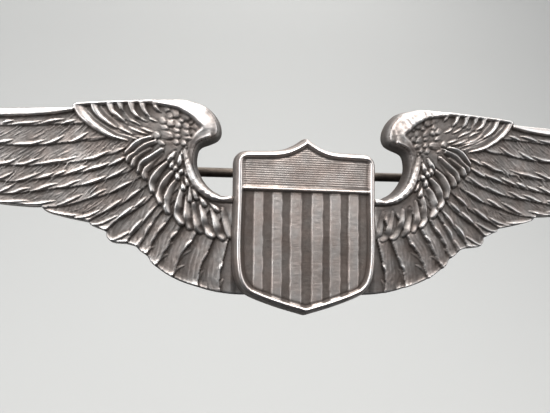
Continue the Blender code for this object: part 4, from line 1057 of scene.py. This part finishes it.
world = bpy.data.worlds.new("studio")
bpy.context.scene.world = world
world.use_nodes = True
background = world.node_tree.nodes["Background"]
sky_coord = world.node_tree.nodes.new("ShaderNodeTexCoord")
sky_split = world.node_tree.nodes.new("ShaderNodeSeparateXYZ")
world.node_tree.links.new(sky_coord.outputs["Generated"], sky_split.inputs[0])
sky_height = math_node(world.node_tree, "ADD", math_node(world.node_tree, "MULTIPLY", sky_split.outputs["Z"], 0.5), 0.5, True)
sky = ramp(world.node_tree, [(0.0, (0.05, 0.055, 0.06)), (0.40, (0.09, 0.10, 0.11)), (0.50, (0.24, 0.26, 0.28)), (0.66, (0.62, 0.65, 0.68)),
                             (1.0, (0.95, 0.97, 1.0))], sky_height)
world.node_tree.links.new(sky.outputs["Color"], background.inputs["Color"])
background.inputs["Strength"].default_value = 0.78


def area(name, where, target, size, power, colour=(1, 1, 1)):
    data = bpy.data.lights.new(name, "AREA")
    data.shape = "RECTANGLE"
    data.size, data.size_y = size
    data.energy = power
    data.color = colour
    obj = bpy.data.objects.new(name, data)
    obj.location = where
    obj.rotation_euler = (Vector(target) - Vector(where)).to_track_quat("-Z", "Y").to_euler()
    bpy.context.scene.collection.objects.link(obj)
    return obj


area("key_top", (-0.05, -0.14, 0.30), (0, 0, 0.0), (0.45, 0.20), 2.2, (1.0, 0.985, 0.96))
area("fill_left", (-0.36, -0.16, 0.06), (0, 0, 0.0), (0.2, 0.3), 1.0, (0.95, 0.98, 1.0))
area("fill_right", (0.36, -0.14, 0.06), (0, 0, 0.0), (0.16, 0.3), 0.45, (0.96, 0.98, 1.0))
area("front_soft", (0.02, -0.34, 0.26), (0, 0, 0.0), (0.40, 0.16), 1.0, (1.0, 0.99, 0.98))
area("back_soft", (0.10, 0.14, 0.30), (0, 0, 0.0), (0.25, 0.2), 0.9, (1.0, 0.99, 0.97))

# ------------------------------------------------------------------ camera
# The camera stands close in front of the badge, a little to the left and below its middle.
F_PX, WIDTH_PX = 600.0, 550.0
ax, ay, az = (math.radians(v) for v in (-4.276, -7.3905, 1.2475))
Rx = np.array([[1, 0, 0], [0, math.cos(ax), -math.sin(ax)], [0, math.sin(ax), math.cos(ax)]])
Ry = np.array([[math.cos(ay), 0, math.sin(ay)], [0, 1, 0], [-math.sin(ay), 0, math.cos(ay)]])
Rz = np.array([[math.cos(az), -math.sin(az), 0], [math.sin(az), math.cos(az), 0], [0, 0, 1]])
R = Rz @ Ry @ Rx
shift = np.array([2.8255, 1.8553, 55.919])
place = -R.T @ shift                 # right, down, away, from the middle of the shield at the wings' front
to_row = lambda v: Vector((v[0], v[2], -v[1]))
right_axis, up_axis, back_axis = to_row(R[0]), -to_row(R[1]), -to_row(R[2])
where = to_row(place) + Vector((0, -2.0, 0))
camera_data = bpy.data.cameras.new("camera")
camera_data.sensor_width = 36.0
camera_data.lens = F_PX * 36.0 / WIDTH_PX
camera_data.clip_start = 0.001
camera_data.clip_end = 10.0
camera = bpy.data.objects.new("camera", camera_data)
camera.matrix_world = Matrix((
    (right_axis.x, up_axis.x, back_axis.x, where.x * MM),
    (right_axis.y, up_axis.y, back_axis.y, where.y * MM),
    (right_axis.z, up_axis.z, back_axis.z, where.z * MM),
    (0, 0, 0, 1)))
bpy.context.scene.collection.objects.link(camera)
bpy.context.scene.camera = camera
bpy.context.scene.view_settings.view_transform = "Standard"
